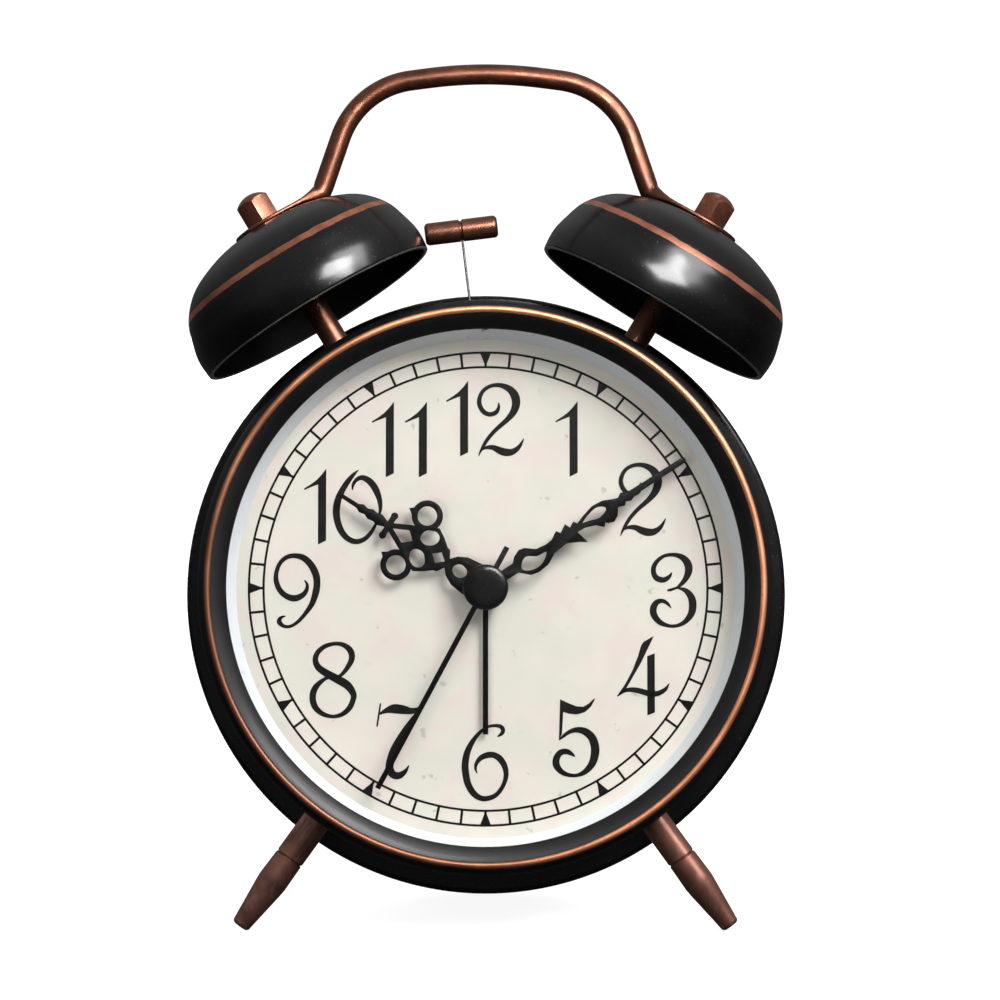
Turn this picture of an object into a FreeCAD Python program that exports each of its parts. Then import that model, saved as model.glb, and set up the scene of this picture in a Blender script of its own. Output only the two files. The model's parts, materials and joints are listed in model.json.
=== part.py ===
import FreeCAD, Part
import math
import os

# Twin-bell alarm clock, in millimetres.
#
# Every piece is first made in the clock's own frame: the dial axis is the Y axis, y = 0 is the front
# plane of the bezel and grows towards the back, +X is right as one faces the dial and +Z is up along
# the face.  At the end the whole clock is leaned back about X, until it stands on its two legs and on
# the rear ring, and is moved so that the origin is the bottom centre of its bounding box.

os.makedirs("parts", exist_ok=True)

# ---------------------------------------------------------------- driving dimensions
lean_deg = 13.3             # how far the face leans back when the clock stands

drum_radius = 57.4          # case drum, outside
drum_wall = 0.8
drum_front = 3.6            # front edge of the drum, which seats in the bezel
drum_back = 40.0            # back edge of the drum and of the rear ring

bead_inset = 1.15           # centre line of the copper bead, inside the drum's outer face
bead_width = 1.3
bezel_overhang = 0.95       # how far the bezel stands out past the drum
bezel_round_out = 0.9       # first step down from the crest, outward and back
bezel_round_back = 0.75
bezel_slope_back = 2.1      # crest to the front edge of the bezel's skirt
bezel_face = 4.9            # width of the bezel from the drum's outer face to the sight opening
bezel_lip_thick = 0.6
bezel_skirt_back = 8.0

lens_thick = 1.5
dial_front = 10.5           # plane of the printed dial
flange_run = 1.5            # how far the sloping flange comes inside the sight opening
dial_thick = 0.3
dial_plate_thick = 0.8
flange_sheet = 0.5
lamp_radius = 1.4

rear_ring_stand = 6.0       # how far the rear ring stands out past the drum
rear_ring_width = 3.4
rear_ring_round = 1.2
rear_flat_depth = 0.15      # depth of the flat on which the rear ring rests

cover_sheet = 1.6
cover_rise = 4.0            # how far the raised middle of the rear cover stands past the drum
cover_ring_margin = 1.9     # the rear ring shows this far around the cover
cover_slope_inset = 3.2     # edge of the cover's raised middle, inside the drum's outer face

bell_deg = 31.1             # lean of each bell's axis from vertical
bell_depth = 19.0           # distance of bells, handle and hammer behind the bezel front
bell_stand = 9.5            # drum to the plane of the bell's rim, along the bell's axis
bell_radius = 26.6
bell_height = 21.2
bell_sheet = 0.9
post_radius = 2.62
stud_radius = 1.5

handle_radius = 2.13
handle_rise = 24.7          # centre line of the grip above the bends at its feet
handle_lean_in = 7.43       # how far the upper corners stand inside the feet
handle_corner_radius = 18.0
handle_crown_deg = 7.5      # slope of the grip's two halves
tab_thick = 1.1
tab_radius = 7.0
tab_reach = 13.6            # stud axis to the bend where the rod starts
cap_nut_height = 6.7
cap_nut_width = 7.0

leg_deg = 36.0              # lean of each leg from straight down
leg_depth = 11.5
leg_radius = 3.0
leg_end_radius = 1.95
leg_end_round = 0.8
leg_groove_out = 10.6       # drum to the turned groove
leg_cone_out = 17.9         # drum to the start of the cone

hammer_pivot_inset = 24.4   # pivot below the top of the drum
head_radius = 2.33
head_length = 15.2
strike_drop = 0.66         # the head meets the bell this far below the bell's widest point
strike_gap = 1.25          # level gap between the head's end and the widest part of the bell it strikes
head_groove = 0.35
wire_radius = 0.25

hour_hand_deg = 302.6       # clockwise from twelve
minute_hand_deg = 57.2
second_hand_deg = 208.2
alarm_hand_deg = 180.0
hand_thick = 0.35
second_hand_width = 1.1
hand_pitch = 1.0            # step from one hand to the next along the axis
cap_radius = 4.65
cap_flat_radius = 3.4

second_arbor_radius = 0.5
pipe_wall = 0.7
running_gap = 0.05          # radial play of a shaft in its hole
free_gap = 0.3              # play between pieces that slide or pass each other

movement_half = 25.0
movement_centre_z = -2.0
movement_split = 19.5
movement_back = 26.0
movement_wall = 1.0

time_module = 0.35          # gear module of the hands' and alarm's wheels
train_module = 0.25         # gear module of the seconds train
wheel_thick = 0.6

knob_radius = 5.5
knob_height = 7.0
arbor_radius = 0.8
alarm_arbor_radius = 1.0

cell_radius = 7.25          # AA cell
cell_length = 50.5
cell_pitch = 15.5
bay_centre_z = -28.8
bay_wall = 1.2

switch_x = -18.0
switch_z = 31.0
switch_travel = 4.0
button_x = 18.0
button_radius = 4.0
button_travel = 1.8
board_gap = 5.0             # circuit board stands this far off the inside of the cover
board_post_x = 7.0
board_post_z = 35.0

# ---------------------------------------------------------------- sizes that follow
drum_inside = drum_radius - drum_wall
bezel_radius = drum_radius + bezel_overhang
lens_back = drum_front + lens_thick
dial_back = dial_front + dial_thick
plate_back = dial_back + dial_plate_thick
cover_back = drum_back + cover_rise
bead_radius = drum_radius - bead_inset
bezel_lip_radius = drum_radius - bezel_face
dial_sight_radius = bezel_lip_radius - flange_run
rear_ring_radius = drum_radius + rear_ring_stand
cover_flange_radius = rear_ring_radius - cover_ring_margin
cover_plateau_radius = drum_radius - cover_slope_inset
bell_rim_distance = drum_radius + bell_stand
bell_top = bell_rim_distance + bell_height
leg_groove_distance = drum_radius + leg_groove_out
leg_cone_distance = drum_radius + leg_cone_out
hammer_pivot_height = drum_radius - hammer_pivot_inset
tab_top = bell_top + tab_thick
bead_round = bead_width / 2
minute_pipe_outer = second_arbor_radius + running_gap + pipe_wall
hour_pipe_outer = minute_pipe_outer + running_gap + pipe_wall
alarm_pipe_outer = hour_pipe_outer + running_gap + pipe_wall
bushing_radius = alarm_pipe_outer + running_gap + 1.0

lean = math.radians(lean_deg)
leg_lean = math.radians(leg_deg)
bell_lean = math.radians(bell_deg)

# The drop of the rear ring's lowest point below the dial axis decides how long the legs are.
ring_drop = ((drum_back - rear_ring_round) * math.sin(lean)
             + (rear_ring_radius - rear_ring_round) * math.cos(lean) + rear_ring_round)
floor_drop = ring_drop - rear_flat_depth
leg_fall = math.cos(lean) * math.cos(leg_lean)
leg_end_drop = (leg_end_radius - leg_end_round) * math.sqrt(1 - leg_fall ** 2) + leg_end_round
leg_end_distance = (floor_drop - leg_end_drop - leg_depth * math.sin(lean)) / leg_fall + leg_end_round

# The hammer's head meets each bell where the bell is widest; that gives the wire's length and lean.
bell_waist = bell_rim_distance + 0.195 * bell_height
strike_x = bell_waist * math.sin(bell_lean) - bell_radius * math.cos(bell_lean) - strike_gap
strike_z = bell_waist * math.cos(bell_lean) + bell_radius * math.sin(bell_lean)
hammer_reach = math.sqrt(strike_x ** 2 + (strike_z - strike_drop - hammer_pivot_height) ** 2
                         - (head_length / 2) ** 2)
hammer_lean = (math.asin(strike_x / math.hypot(hammer_reach, head_length / 2))
               - math.atan2(head_length / 2, hammer_reach))
hammer_lean_deg = math.degrees(hammer_lean)

AXIS_X = FreeCAD.Vector(1, 0, 0)
AXIS_Y = FreeCAD.Vector(0, 1, 0)
AXIS_Z = FreeCAD.Vector(0, 0, 1)
ORIGIN = FreeCAD.Vector(0, 0, 0)

nodes = {}


# ---------------------------------------------------------------- shared shapes
def cylinder_y(radius, front, back, x=0.0, z=0.0):
    return Part.makeCylinder(radius, back - front, FreeCAD.Vector(x, front, z), AXIS_Y)


def tube_y(outer, inner, front, back, x=0.0, z=0.0):
    return cylinder_y(outer, front, back, x, z).cut(cylinder_y(inner, front, back, x, z))


def block(x0, x1, y0, y1, z0, z1):
    return Part.makeBox(x1 - x0, y1 - y0, z1 - z0, FreeCAD.Vector(x0, y0, z0))


def turned_y(profile):
    """Solid turned about the dial axis from (radius, depth) points."""
    wire = Part.makePolygon([FreeCAD.Vector(r, y, 0) for r, y in profile + profile[:1]])
    return Part.Face(wire).revolve(ORIGIN, AXIS_Y, 360)


def turned_z(edges):
    """Solid turned about Z from closed edges in the XZ plane."""
    return Part.Face(Part.Wire(Part.sortEdges(edges)[0])).revolve(ORIGIN, AXIS_Z, 360)


def turned_z_points(profile):
    """Solid turned about Z from (radius, height) points."""
    wire = Part.makePolygon([FreeCAD.Vector(r, 0, h) for r, h in profile + profile[:1]])
    return Part.Face(wire).revolve(ORIGIN, AXIS_Z, 360)


def hex_z(width, height, base):
    """Hexagonal prism along Z, width across its flats."""
    corner = width / math.sqrt(3)
    ring = [FreeCAD.Vector(corner * math.cos(math.radians(60 * k + 30)),
                           corner * math.sin(math.radians(60 * k + 30)), base) for k in range(7)]
    return Part.Face(Part.makePolygon(ring)).extrude(AXIS_Z * height)


def radial(shape, degrees, depth):
    """Turns a piece built along Z to point away from the dial axis, clockwise from twelve."""
    placed = shape.copy()
    placed.rotate(ORIGIN, AXIS_Y, degrees)
    placed.translate(AXIS_Y * depth)
    return placed


def gear(teeth, module, front, thick, x, z, tooth_deg):
    """Spur gear on an axis along Y, with the centre of one tooth at tooth_deg."""
    pitch = teeth * module / 2
    root = pitch - 1.2 * module
    tip = pitch + 0.9 * module
    step = 2 * math.pi / teeth
    outline = []
    for k in range(teeth):
        middle = math.radians(tooth_deg) + k * step
        for radius, share in ((root, -0.29), (tip, -0.09), (tip, 0.09), (root, 0.29)):
            angle = middle + share * step
            outline.append(FreeCAD.Vector(x + radius * math.cos(angle), front,
                                          z + radius * math.sin(angle)))
    return Part.Face(Part.makePolygon(outline + outline[:1])).extrude(AXIS_Y * thick)


def meshed(tooth_deg, teeth, other_teeth, towards_deg):
    """Tooth angle of the gear that meshes with one whose tooth is at tooth_deg."""
    return (towards_deg + 180 - (tooth_deg - towards_deg) * teeth / other_teeth
            + 180 / other_teeth)


def flat(points, front, thick):
    """Plate across the dial axis from (x, z) points."""
    wire = Part.makePolygon([FreeCAD.Vector(x, front, z) for x, z in points + points[:1]])
    return Part.Face(wire).extrude(AXIS_Y * thick)


def flat_curve(points, front, thick):
    """Plate across the dial axis whose edge is one smooth closed curve through (x, z) points."""
    curve = Part.BSplineCurve()
    curve.interpolate([FreeCAD.Vector(x, front, z) for x, z in points], PeriodicFlag=True)
    return Part.Face(Part.Wire(curve.toShape())).extrude(AXIS_Y * thick)


def ellipse_hole(x, z, across, along, turn_deg, front, thick):
    """Elliptical plate, used to open the hands."""
    ring = [(x + across * math.cos(a) * math.cos(math.radians(turn_deg))
             - along * math.sin(a) * math.sin(math.radians(turn_deg)),
             z + across * math.cos(a) * math.sin(math.radians(turn_deg))
             + along * math.sin(a) * math.cos(math.radians(turn_deg)))
            for a in [k * math.pi / 4 for k in range(8)]]
    return flat_curve(ring, front, thick)


def mirrored(points):
    """The (x, z) points of a right half, from tip to foot, closed by their mirror image."""
    return points + [(-x, z) for x, z in reversed(points) if x != 0]


def turn_hand(shape, degrees):
    turned = shape.copy()
    turned.rotate(ORIGIN, AXIS_Y, degrees)
    return turned


# ---------------------------------------------------------------- bezel, glass and dial
def make_front():
    crest_in = bead_radius - bead_round
    crest_out = bead_radius + bead_round
    crest_y = bead_round * 0.7
    lip_front = drum_front - bezel_lip_thick
    bead = Part.makeTorus(bead_radius, bead_round, FreeCAD.Vector(0, bead_round, 0), AXIS_Y)
    profile = [(crest_in, crest_y), (crest_out, crest_y), (crest_out + bezel_round_out, crest_y + bezel_round_back),
               (bezel_radius, crest_y + bezel_slope_back), (bezel_radius, bezel_skirt_back),
               (drum_radius, bezel_skirt_back), (drum_radius, drum_front),
               (bezel_lip_radius, drum_front), (bezel_lip_radius, lip_front)]
    nodes["bezel"] = turned_y(profile).cut(bead)
    nodes["bezel_bead"] = bead
    nodes["lens"] = cylinder_y(drum_inside, drum_front, lens_back)

    rim_back = lens_back + flange_sheet
    flange = turned_y([(dial_sight_radius + 2.6, lens_back), (drum_inside, lens_back),
                       (drum_inside, rim_back), (dial_sight_radius + 2.6 + flange_sheet, rim_back),
                       (dial_sight_radius + flange_sheet, dial_front),
                       (dial_sight_radius, dial_front)])
    lamp_y = rim_back + lamp_radius + 0.1
    lamp_window = Part.makeCylinder(0.9, 6, FreeCAD.Vector(0, lamp_y, dial_sight_radius), AXIS_Z)
    nodes["dial_flange"] = flange.cut(lamp_window)
    lamp_top = drum_inside - 0.1
    lamp_base = Part.makeCylinder(lamp_radius, 1.8, FreeCAD.Vector(0, lamp_y, lamp_top - 1.8), AXIS_Z)
    lamp_tip = Part.makeCylinder(0.8, 1.2, FreeCAD.Vector(0, lamp_y, lamp_top - 3.0), AXIS_Z)
    nodes["dial_lamp"] = lamp_base.fuse(lamp_tip).removeSplitter()

    plate_radius = dial_sight_radius + flange_sheet + 1.1
    nodes["dial"] = tube_y(plate_radius, bushing_radius, dial_front, dial_back)
    nodes["dial_plate"] = tube_y(plate_radius, bushing_radius, dial_back, plate_back)


# ---------------------------------------------------------------- drum, rear ring and legs
def make_case():
    drum = tube_y(drum_radius, drum_inside, drum_front, drum_back)
    hole = Part.makeCylinder(stud_radius, 8, AXIS_Z * (drum_radius - 4), AXIS_Z)
    for side in (-1, 1):
        drum = drum.cut(radial(hole, side * bell_deg, bell_depth))
        drum = drum.cut(radial(hole, 180 + side * leg_deg, leg_depth))
    swing = hammer_pivot_inset * math.tan(hammer_lean)
    slot_half = swing + wire_radius + 2 * free_gap
    nodes["case_drum"] = drum.cut(block(-slot_half, slot_half, bell_depth - 1.2, bell_depth + 1.2,
                                        drum_inside - 4, drum_radius + 2))

    front = drum_back - rear_ring_width
    ring = tube_y(rear_ring_radius, drum_radius, front, drum_back)
    corners = [edge for edge in ring.Edges
               if edge.BoundBox.YLength < 0.01 and edge.BoundBox.XMax > drum_radius + 1]
    nodes["rear_ring"] = ring.makeFillet(rear_ring_round, corners)


def make_legs():
    """Turned legs, screwed into the drum from outside and held by a nut inside it."""
    groove = 0.3
    end = leg_end_distance
    body = [(0, drum_inside), (leg_radius, drum_inside),
            (leg_radius, leg_groove_distance - groove), (leg_radius - groove, leg_groove_distance),
            (leg_radius, leg_groove_distance + groove), (leg_radius + 0.12, leg_cone_distance - 1.5),
            (leg_radius, leg_cone_distance), (leg_end_radius, end - leg_end_round)]
    leg = turned_z_points(body + [(0, end - leg_end_round)])
    flat_radius = leg_end_radius - leg_end_round
    tip = Part.makeTorus(flat_radius, leg_end_round, AXIS_Z * (end - leg_end_round), AXIS_Z)
    core = Part.makeCylinder(flat_radius, leg_end_round, AXIS_Z * (end - leg_end_round), AXIS_Z)
    screw = Part.makeCylinder(stud_radius, 4, AXIS_Z * (drum_inside - 3.2), AXIS_Z)
    leg = leg.fuse([tip, core]).removeSplitter()
    nut = hex_z(5.5, 2.4, drum_inside - 2.7)
    nut = nut.cut(Part.makeCylinder(stud_radius, 5, AXIS_Z * (drum_inside - 4), AXIS_Z))
    inside = cylinder_y(drum_radius, 0, drum_back)
    for side, name in ((-1, "right"), (1, "left")):
        turn = 180 + side * leg_deg
        outer = radial(leg, turn, leg_depth).cut(inside)
        nodes["leg_" + name] = outer.fuse(radial(screw, turn, leg_depth)).removeSplitter()
        nodes["leg_nut_" + name] = radial(nut, turn, leg_depth)


# ---------------------------------------------------------------- bells, handle and cap nuts
def bell_outline(shrink):
    """Edges of one half of the bell's section, shrunk all round by a sheet thickness."""
    radius = bell_radius - shrink
    height = bell_height - shrink
    shape = [(0.989, 0.0), (1.0, 0.195), (0.970, 0.377), (0.910, 0.586), (0.778, 0.777),
             (0.605, 0.895), (0.406, 0.973), (0.17, 1.0)]
    curve = Part.BSplineCurve()
    curve.interpolate(Points=[FreeCAD.Vector(radius * r, 0, height * h) for r, h in shape],
                      InitialTangent=AXIS_Z * radius, FinalTangent=AXIS_X * -radius)
    top = FreeCAD.Vector(0, 0, height)
    rim = FreeCAD.Vector(radius * shape[0][0], 0, 0)
    crown = FreeCAD.Vector(radius * shape[-1][0], 0, height)
    return [curve.toShape(), Part.makeLine(crown, top), Part.makeLine(top, ORIGIN),
            Part.makeLine(ORIGIN, rim)]


def make_bells():
    """Spun bells on turned posts; one stud holds post, bell, handle end and cap nut."""
    bell = turned_z(bell_outline(0)).cut(turned_z(bell_outline(bell_sheet)))
    bell.translate(AXIS_Z * bell_rim_distance)
    stud_base = drum_inside - 4.0
    stud_end = tab_top + cap_nut_height - 2.0
    stud = Part.makeCylinder(stud_radius, stud_end - stud_base, AXIS_Z * stud_base, AXIS_Z)
    bell = bell.cut(stud)
    post_end = bell_top - bell_sheet
    post = Part.makeCylinder(post_radius, post_end - drum_inside, AXIS_Z * drum_inside, AXIS_Z)
    nut = hex_z(5.5, 2.4, drum_inside - 2.7).cut(stud)
    cap = hex_z(cap_nut_width, cap_nut_height, tab_top)
    corner = cap_nut_width / math.sqrt(3)
    dome_radius = (corner ** 2 + cap_nut_height ** 2) / (2 * cap_nut_height)
    dome = Part.makeSphere(dome_radius + 0.5, AXIS_Z * (tab_top + cap_nut_height - dome_radius - 0.5))
    cap = cap.common(dome).cut(stud)
    inside = cylinder_y(drum_radius, 0, drum_back)
    for side, name in ((-1, "left"), (1, "right")):
        turn = side * bell_deg
        nodes["bell_" + name] = radial(bell, turn, bell_depth)
        nodes["bell_stud_" + name] = radial(stud, turn, bell_depth)
        nodes["bell_post_" + name] = radial(post.cut(stud), turn, bell_depth).cut(inside)
        nodes["stud_nut_" + name] = radial(nut, turn, bell_depth)
        nodes["cap_nut_" + name] = radial(cap, turn, bell_depth)


def make_handle():
    """One bent rod with flattened ends, clamped between each bell's dome and its cap nut."""
    middle = bell_top + tab_thick / 2
    foot_x = middle * math.sin(bell_lean) - tab_reach * math.cos(bell_lean)
    foot_z = middle * math.cos(bell_lean) + tab_reach * math.sin(bell_lean)
    crown = math.radians(handle_crown_deg)
    corner_x = foot_x - handle_lean_in
    crown_radius = 0.45 * corner_x / math.tan(crown)
    peak = foot_z + handle_rise + crown_radius * (1 / math.cos(crown) - 1)
    corner = FreeCAD.Vector(corner_x, bell_depth, peak - corner_x * math.tan(crown))
    top = FreeCAD.Vector(0, bell_depth, peak)
    left_corner = FreeCAD.Vector(-corner.x, bell_depth, corner.z)
    route = [FreeCAD.Vector(-foot_x, bell_depth, foot_z), left_corner, top, corner,
             FreeCAD.Vector(foot_x, bell_depth, foot_z)]
    radii = [handle_corner_radius, crown_radius, handle_corner_radius]
    edges = []
    start = route[0]
    for before, at, after, radius in zip(route, route[1:], route[2:], radii):
        back = (before - at).normalize()
        on = (after - at).normalize()
        half_turn = (math.pi - back.getAngle(on)) / 2
        reach = radius * math.tan(half_turn)
        inward = (back + on).normalize()
        halfway = at + inward * (radius / math.cos(half_turn) - radius)
        first = at + back * reach
        last = at + on * reach
        edges.append(Part.makeLine(start, first))
        edges.append(Part.Arc(first, halfway, last).toShape())
        start = last
    edges.append(Part.makeLine(start, route[-1]))
    path = Part.Wire(edges)
    section = Part.Wire(Part.makeCircle(handle_radius, route[0], route[1] - route[0]))
    rod = path.makePipeShell([section], True, False)

    # A flattened end: round eye about the stud, waist, then the neck where it becomes a rod again.
    waist = 0.62 * tab_radius
    plate = Part.makeCylinder(tab_radius, tab_thick, AXIS_Z * bell_top, AXIS_Z)
    strip = Part.makePolygon([FreeCAD.Vector(x, y, bell_top) for x, y in
                              [(0, -tab_radius), (-tab_reach + 3.0, -waist), (-tab_reach, -handle_radius),
                               (-tab_reach, handle_radius), (-tab_reach + 3.0, waist), (0, tab_radius),
                               (0, -tab_radius)]])
    plate = plate.fuse(Part.Face(strip).extrude(AXIS_Z * tab_thick))
    knee_centre = FreeCAD.Vector(-tab_reach, 0, middle)
    knee = Part.makeSphere(handle_radius, knee_centre)
    swell = Part.makeCone(handle_radius, tab_thick / 2, 0.55 * tab_reach, knee_centre, AXIS_X)
    stud = Part.makeCylinder(stud_radius, 20, AXIS_Z * (bell_top - 5), AXIS_Z)
    under = block(-1.25 * tab_reach, tab_reach, -tab_radius, tab_radius, bell_top - 5, bell_top)
    end = radial(plate.fuse([knee, swell]), bell_deg, bell_depth)
    gone = radial(stud.fuse(under), bell_deg, bell_depth)
    handle = rod.fuse([end, end.mirror(ORIGIN, AXIS_X)])
    nodes["handle"] = handle.cut(gone.fuse(gone.mirror(ORIGIN, AXIS_X))).removeSplitter()


# ---------------------------------------------------------------- striker
def make_striker():
    """Hammer on a thin wire, its pivot on the dial plate and the electromagnet that pulls it."""
    pivot = hammer_pivot_height
    sleeve = arbor_radius + 1.0
    front = bell_depth - 2.5
    back = bell_depth + 2.5
    arm = cylinder_y(sleeve, front, back, 0, pivot)
    arm = arm.fuse(block(-0.8, 0.8, bell_depth - 1.2, bell_depth + 1.2, pivot - 6.5, pivot + 5.0))
    arm = arm.cut(cylinder_y(arbor_radius + running_gap, front - 1, back + 1, 0, pivot))
    foot = pivot + 2.2
    head_axis = pivot + hammer_reach
    wire = Part.makeCylinder(wire_radius, head_axis - foot, FreeCAD.Vector(0, bell_depth, foot), AXIS_Z)
    head = Part.makeCylinder(head_radius, head_length,
                             FreeCAD.Vector(-head_length / 2, bell_depth, head_axis), AXIS_X)
    ends = [edge for edge in head.Edges if edge.BoundBox.XLength < 0.01]
    head = head.makeFillet(0.9, ends)
    head = head.cut(Part.makeTorus(head_radius, head_groove,
                                   FreeCAD.Vector(0, bell_depth, head_axis), AXIS_X))
    rest = (("hammer_head", head.cut(wire)), ("hammer_wire", wire),
            ("hammer_arm", arm.cut(wire)))
    for name, shape in rest:
        leaning = shape.copy()
        leaning.rotate(FreeCAD.Vector(0, 0, pivot), AXIS_Y, -hammer_lean_deg)
        nodes[name] = leaning

    bracket = block(-6, 6, plate_back, plate_back + 1.0, pivot - 7, pivot + 6)
    pin = cylinder_y(arbor_radius, plate_back, back + 2, 0, pivot)
    keeper = cylinder_y(sleeve, back + free_gap, back + free_gap + 0.8, 0, pivot)
    stop = tube_y(sleeve, arbor_radius, plate_back, front - free_gap, 0, pivot)
    nodes["hammer_bracket"] = bracket.fuse([pin, keeper, stop]).removeSplitter()

    tail = 6.5 * math.sin(hammer_lean) + 0.8 + free_gap
    coil_z = pivot - 4.0
    core = Part.makeCylinder(1.5, 15, FreeCAD.Vector(-tail - 15, bell_depth, coil_z), AXIS_X)
    yoke = block(-tail - 15, -tail - 13.8, plate_back, bell_depth + 2.5, coil_z - 3, coil_z + 3)
    nodes["striker_core"] = core.fuse(yoke).removeSplitter()
    coil = Part.makeCylinder(4.6, 11, FreeCAD.Vector(-tail - 13, bell_depth, coil_z), AXIS_X)
    nodes["striker_coil"] = coil.cut(core)


# ---------------------------------------------------------------- hands
def make_hands():
    """Stamped hands; each is drawn pointing to twelve, then turned to the time shown."""
    alarm_y = dial_front - 1.0 - hand_thick
    hour_y = alarm_y - hand_pitch
    minute_y = hour_y - hand_pitch
    second_y = minute_y - hand_pitch + 0.1

    t = hand_thick
    alarm = cylinder_y(alarm_pipe_outer + 1.2, alarm_y, alarm_y + t)
    alarm = alarm.fuse(flat([(-0.55, 0), (0.55, 0), (0.55, 29.9), (-0.55, 29.9)], alarm_y, t))
    alarm = alarm.cut(cylinder_y(alarm_pipe_outer, alarm_y - 1, alarm_y + 2))
    nodes["alarm_hand"] = turn_hand(alarm.removeSplitter(), alarm_hand_deg)

    # Hour hand: two scrolls either side of a pierced shield, a cross bar and a narrow point.
    scroll_x = 5.93
    scroll_z = 17.9
    shield = flat(mirrored([(0, 24.4), (0.75, 23.4), (2.6, 19.7), (3.6, 17.5), (5.2, 14.4),
                            (3.95, 12.4), (2.75, 10.9), (2.6, 10.2), (0.75, 9.1)]), hour_y, t)
    point = flat(mirrored([(0.42, 35.3), (0.48, 31.0), (0.95, 30.1), (0.7, 28.9), (1.15, 27.9),
                           (0.95, 26.6), (1.25, 25.8), (0.7, 24.2), (0.7, 22.5)]), hour_y, t)
    bar = flat([(-2.3, 22.9), (2.3, 22.9), (2.3, 24.1), (-2.3, 24.1)], hour_y, t)
    root = flat(mirrored([(0.7, 9.6), (2.3, 8.2), (3.3, 6.3), (3.7, 3.0), (0, 2.5)]), hour_y, t)
    solid = [cylinder_y(cap_radius - 0.6, hour_y, hour_y + t), shield, point, bar, root]
    holes = [flat(mirrored([(0, 22.4), (1.5, 19.4), (0, 17.7)]), hour_y - 1, 3),
             flat(mirrored([(0, 12.9), (1.25, 11.4), (0, 9.9)]), hour_y - 1, 3),
             ellipse_hole(0, 6.25, 1.3, 1.55, 0, hour_y - 1, 3)]
    for side in (-1, 1):
        solid.append(cylinder_y(3.2, hour_y, hour_y + t, side * scroll_x, scroll_z))
        solid.append(cylinder_y(0.75, hour_y, hour_y + t, side * 2.3, 23.5))
        solid.append(flat([(side * 3.4, 19.2), (side * 5.3, 21.9), (side * 6.4, 20.6)], hour_y, t))
        holes.append(cylinder_y(1.98, hour_y - 1, hour_y + 2, side * scroll_x, scroll_z))
        holes.append(ellipse_hole(side * 2.45, 15.0, 1.55, 1.95, side * 35, hour_y - 1, 3))
    hour = solid[0].fuse(solid[1:]).cut(holes[0].fuse(holes[1:]))
    hour = hour.cut(cylinder_y(hour_pipe_outer, hour_y - 1, hour_y + 2)).removeSplitter()
    nodes["hour_hand"] = turn_hand(hour, hour_hand_deg)

    # Minute hand: one winding stem with two open loops, barbs half way and a long blade.
    stem = flat([(-1.1, 2.0), (-1.1, 7.3), (-2.1, 8.3), (-2.75, 9.8), (-2.5, 11.0), (-1.0, 12.9),
                 (-0.7, 15.2), (-0.85, 16.6), (-1.9, 18.3), (-1.05, 18.9), (-2.1, 20.6), (-0.95, 21.1),
                 (-1.6, 22.3), (-0.85, 22.8), (-1.5, 24.6), (-2.2, 27.2), (-2.0, 29.6), (-1.1, 31.6),
                 (-0.75, 32.6), (-1.35, 33.6), (-0.75, 34.8), (-0.68, 36.0), (-0.6, 48.1), (-0.3, 48.5),
                 (0.3, 48.5), (0.6, 48.1), (0.68, 36.0), (1.2, 34.6), (0.75, 33.6), (1.35, 33.0),
                 (0.9, 31.6), (2.3, 30.6), (2.95, 29.4), (2.6, 28.3), (2.1, 27.7), (2.8, 27.1),
                 (1.55, 25.8), (0.75, 23.6), (0.7, 21.9), (3.55, 22.6), (2.5, 21.0), (1.4, 18.8),
                 (1.7, 15.7), (3.0, 13.4), (3.3, 10.9), (2.9, 9.2), (1.1, 7.3), (1.1, 2.0)], minute_y, t)
    lower = flat_curve([(0.2, 8.6), (-0.6, 10.9), (0.4, 12.6), (0.6, 14.3), (1.9, 12.9), (2.3, 10.8),
                        (1.7, 9.0)], minute_y - 1, 3)
    upper = flat_curve([(-0.45, 23.9), (-1.35, 26.6), (-1.2, 28.6), (-0.4, 29.4), (0.5, 28.0),
                        (0.6, 27.0), (0.1, 25.4)], minute_y - 1, 3)
    minute = cylinder_y(cap_radius - 0.6, minute_y, minute_y + t).fuse(stem).cut(lower.fuse(upper))
    minute = minute.cut(cylinder_y(minute_pipe_outer, minute_y - 1, minute_y + 2)).removeSplitter()
    nodes["minute_hand"] = turn_hand(minute, minute_hand_deg)

    edge = second_hand_width / 2
    second = flat([(-edge, -9.3), (edge, -9.3), (edge, 46.3), (-edge, 46.3)], second_y, t)
    second = second.fuse(cylinder_y(2.0, second_y, second_y + t))
    second = second.cut(cylinder_y(second_arbor_radius, second_y - 1, second_y + 2)).removeSplitter()
    nodes["second_hand"] = turn_hand(second, second_hand_deg)
    cap_front = second_y - 0.9
    cap = turned_y([(0, cap_front), (cap_flat_radius, cap_front), (cap_radius, cap_front + 0.55),
                    (cap_radius, second_y), (0, second_y)])
    nodes["centre_cap"] = cap
    return alarm_y, hour_y, minute_y, second_y


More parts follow.
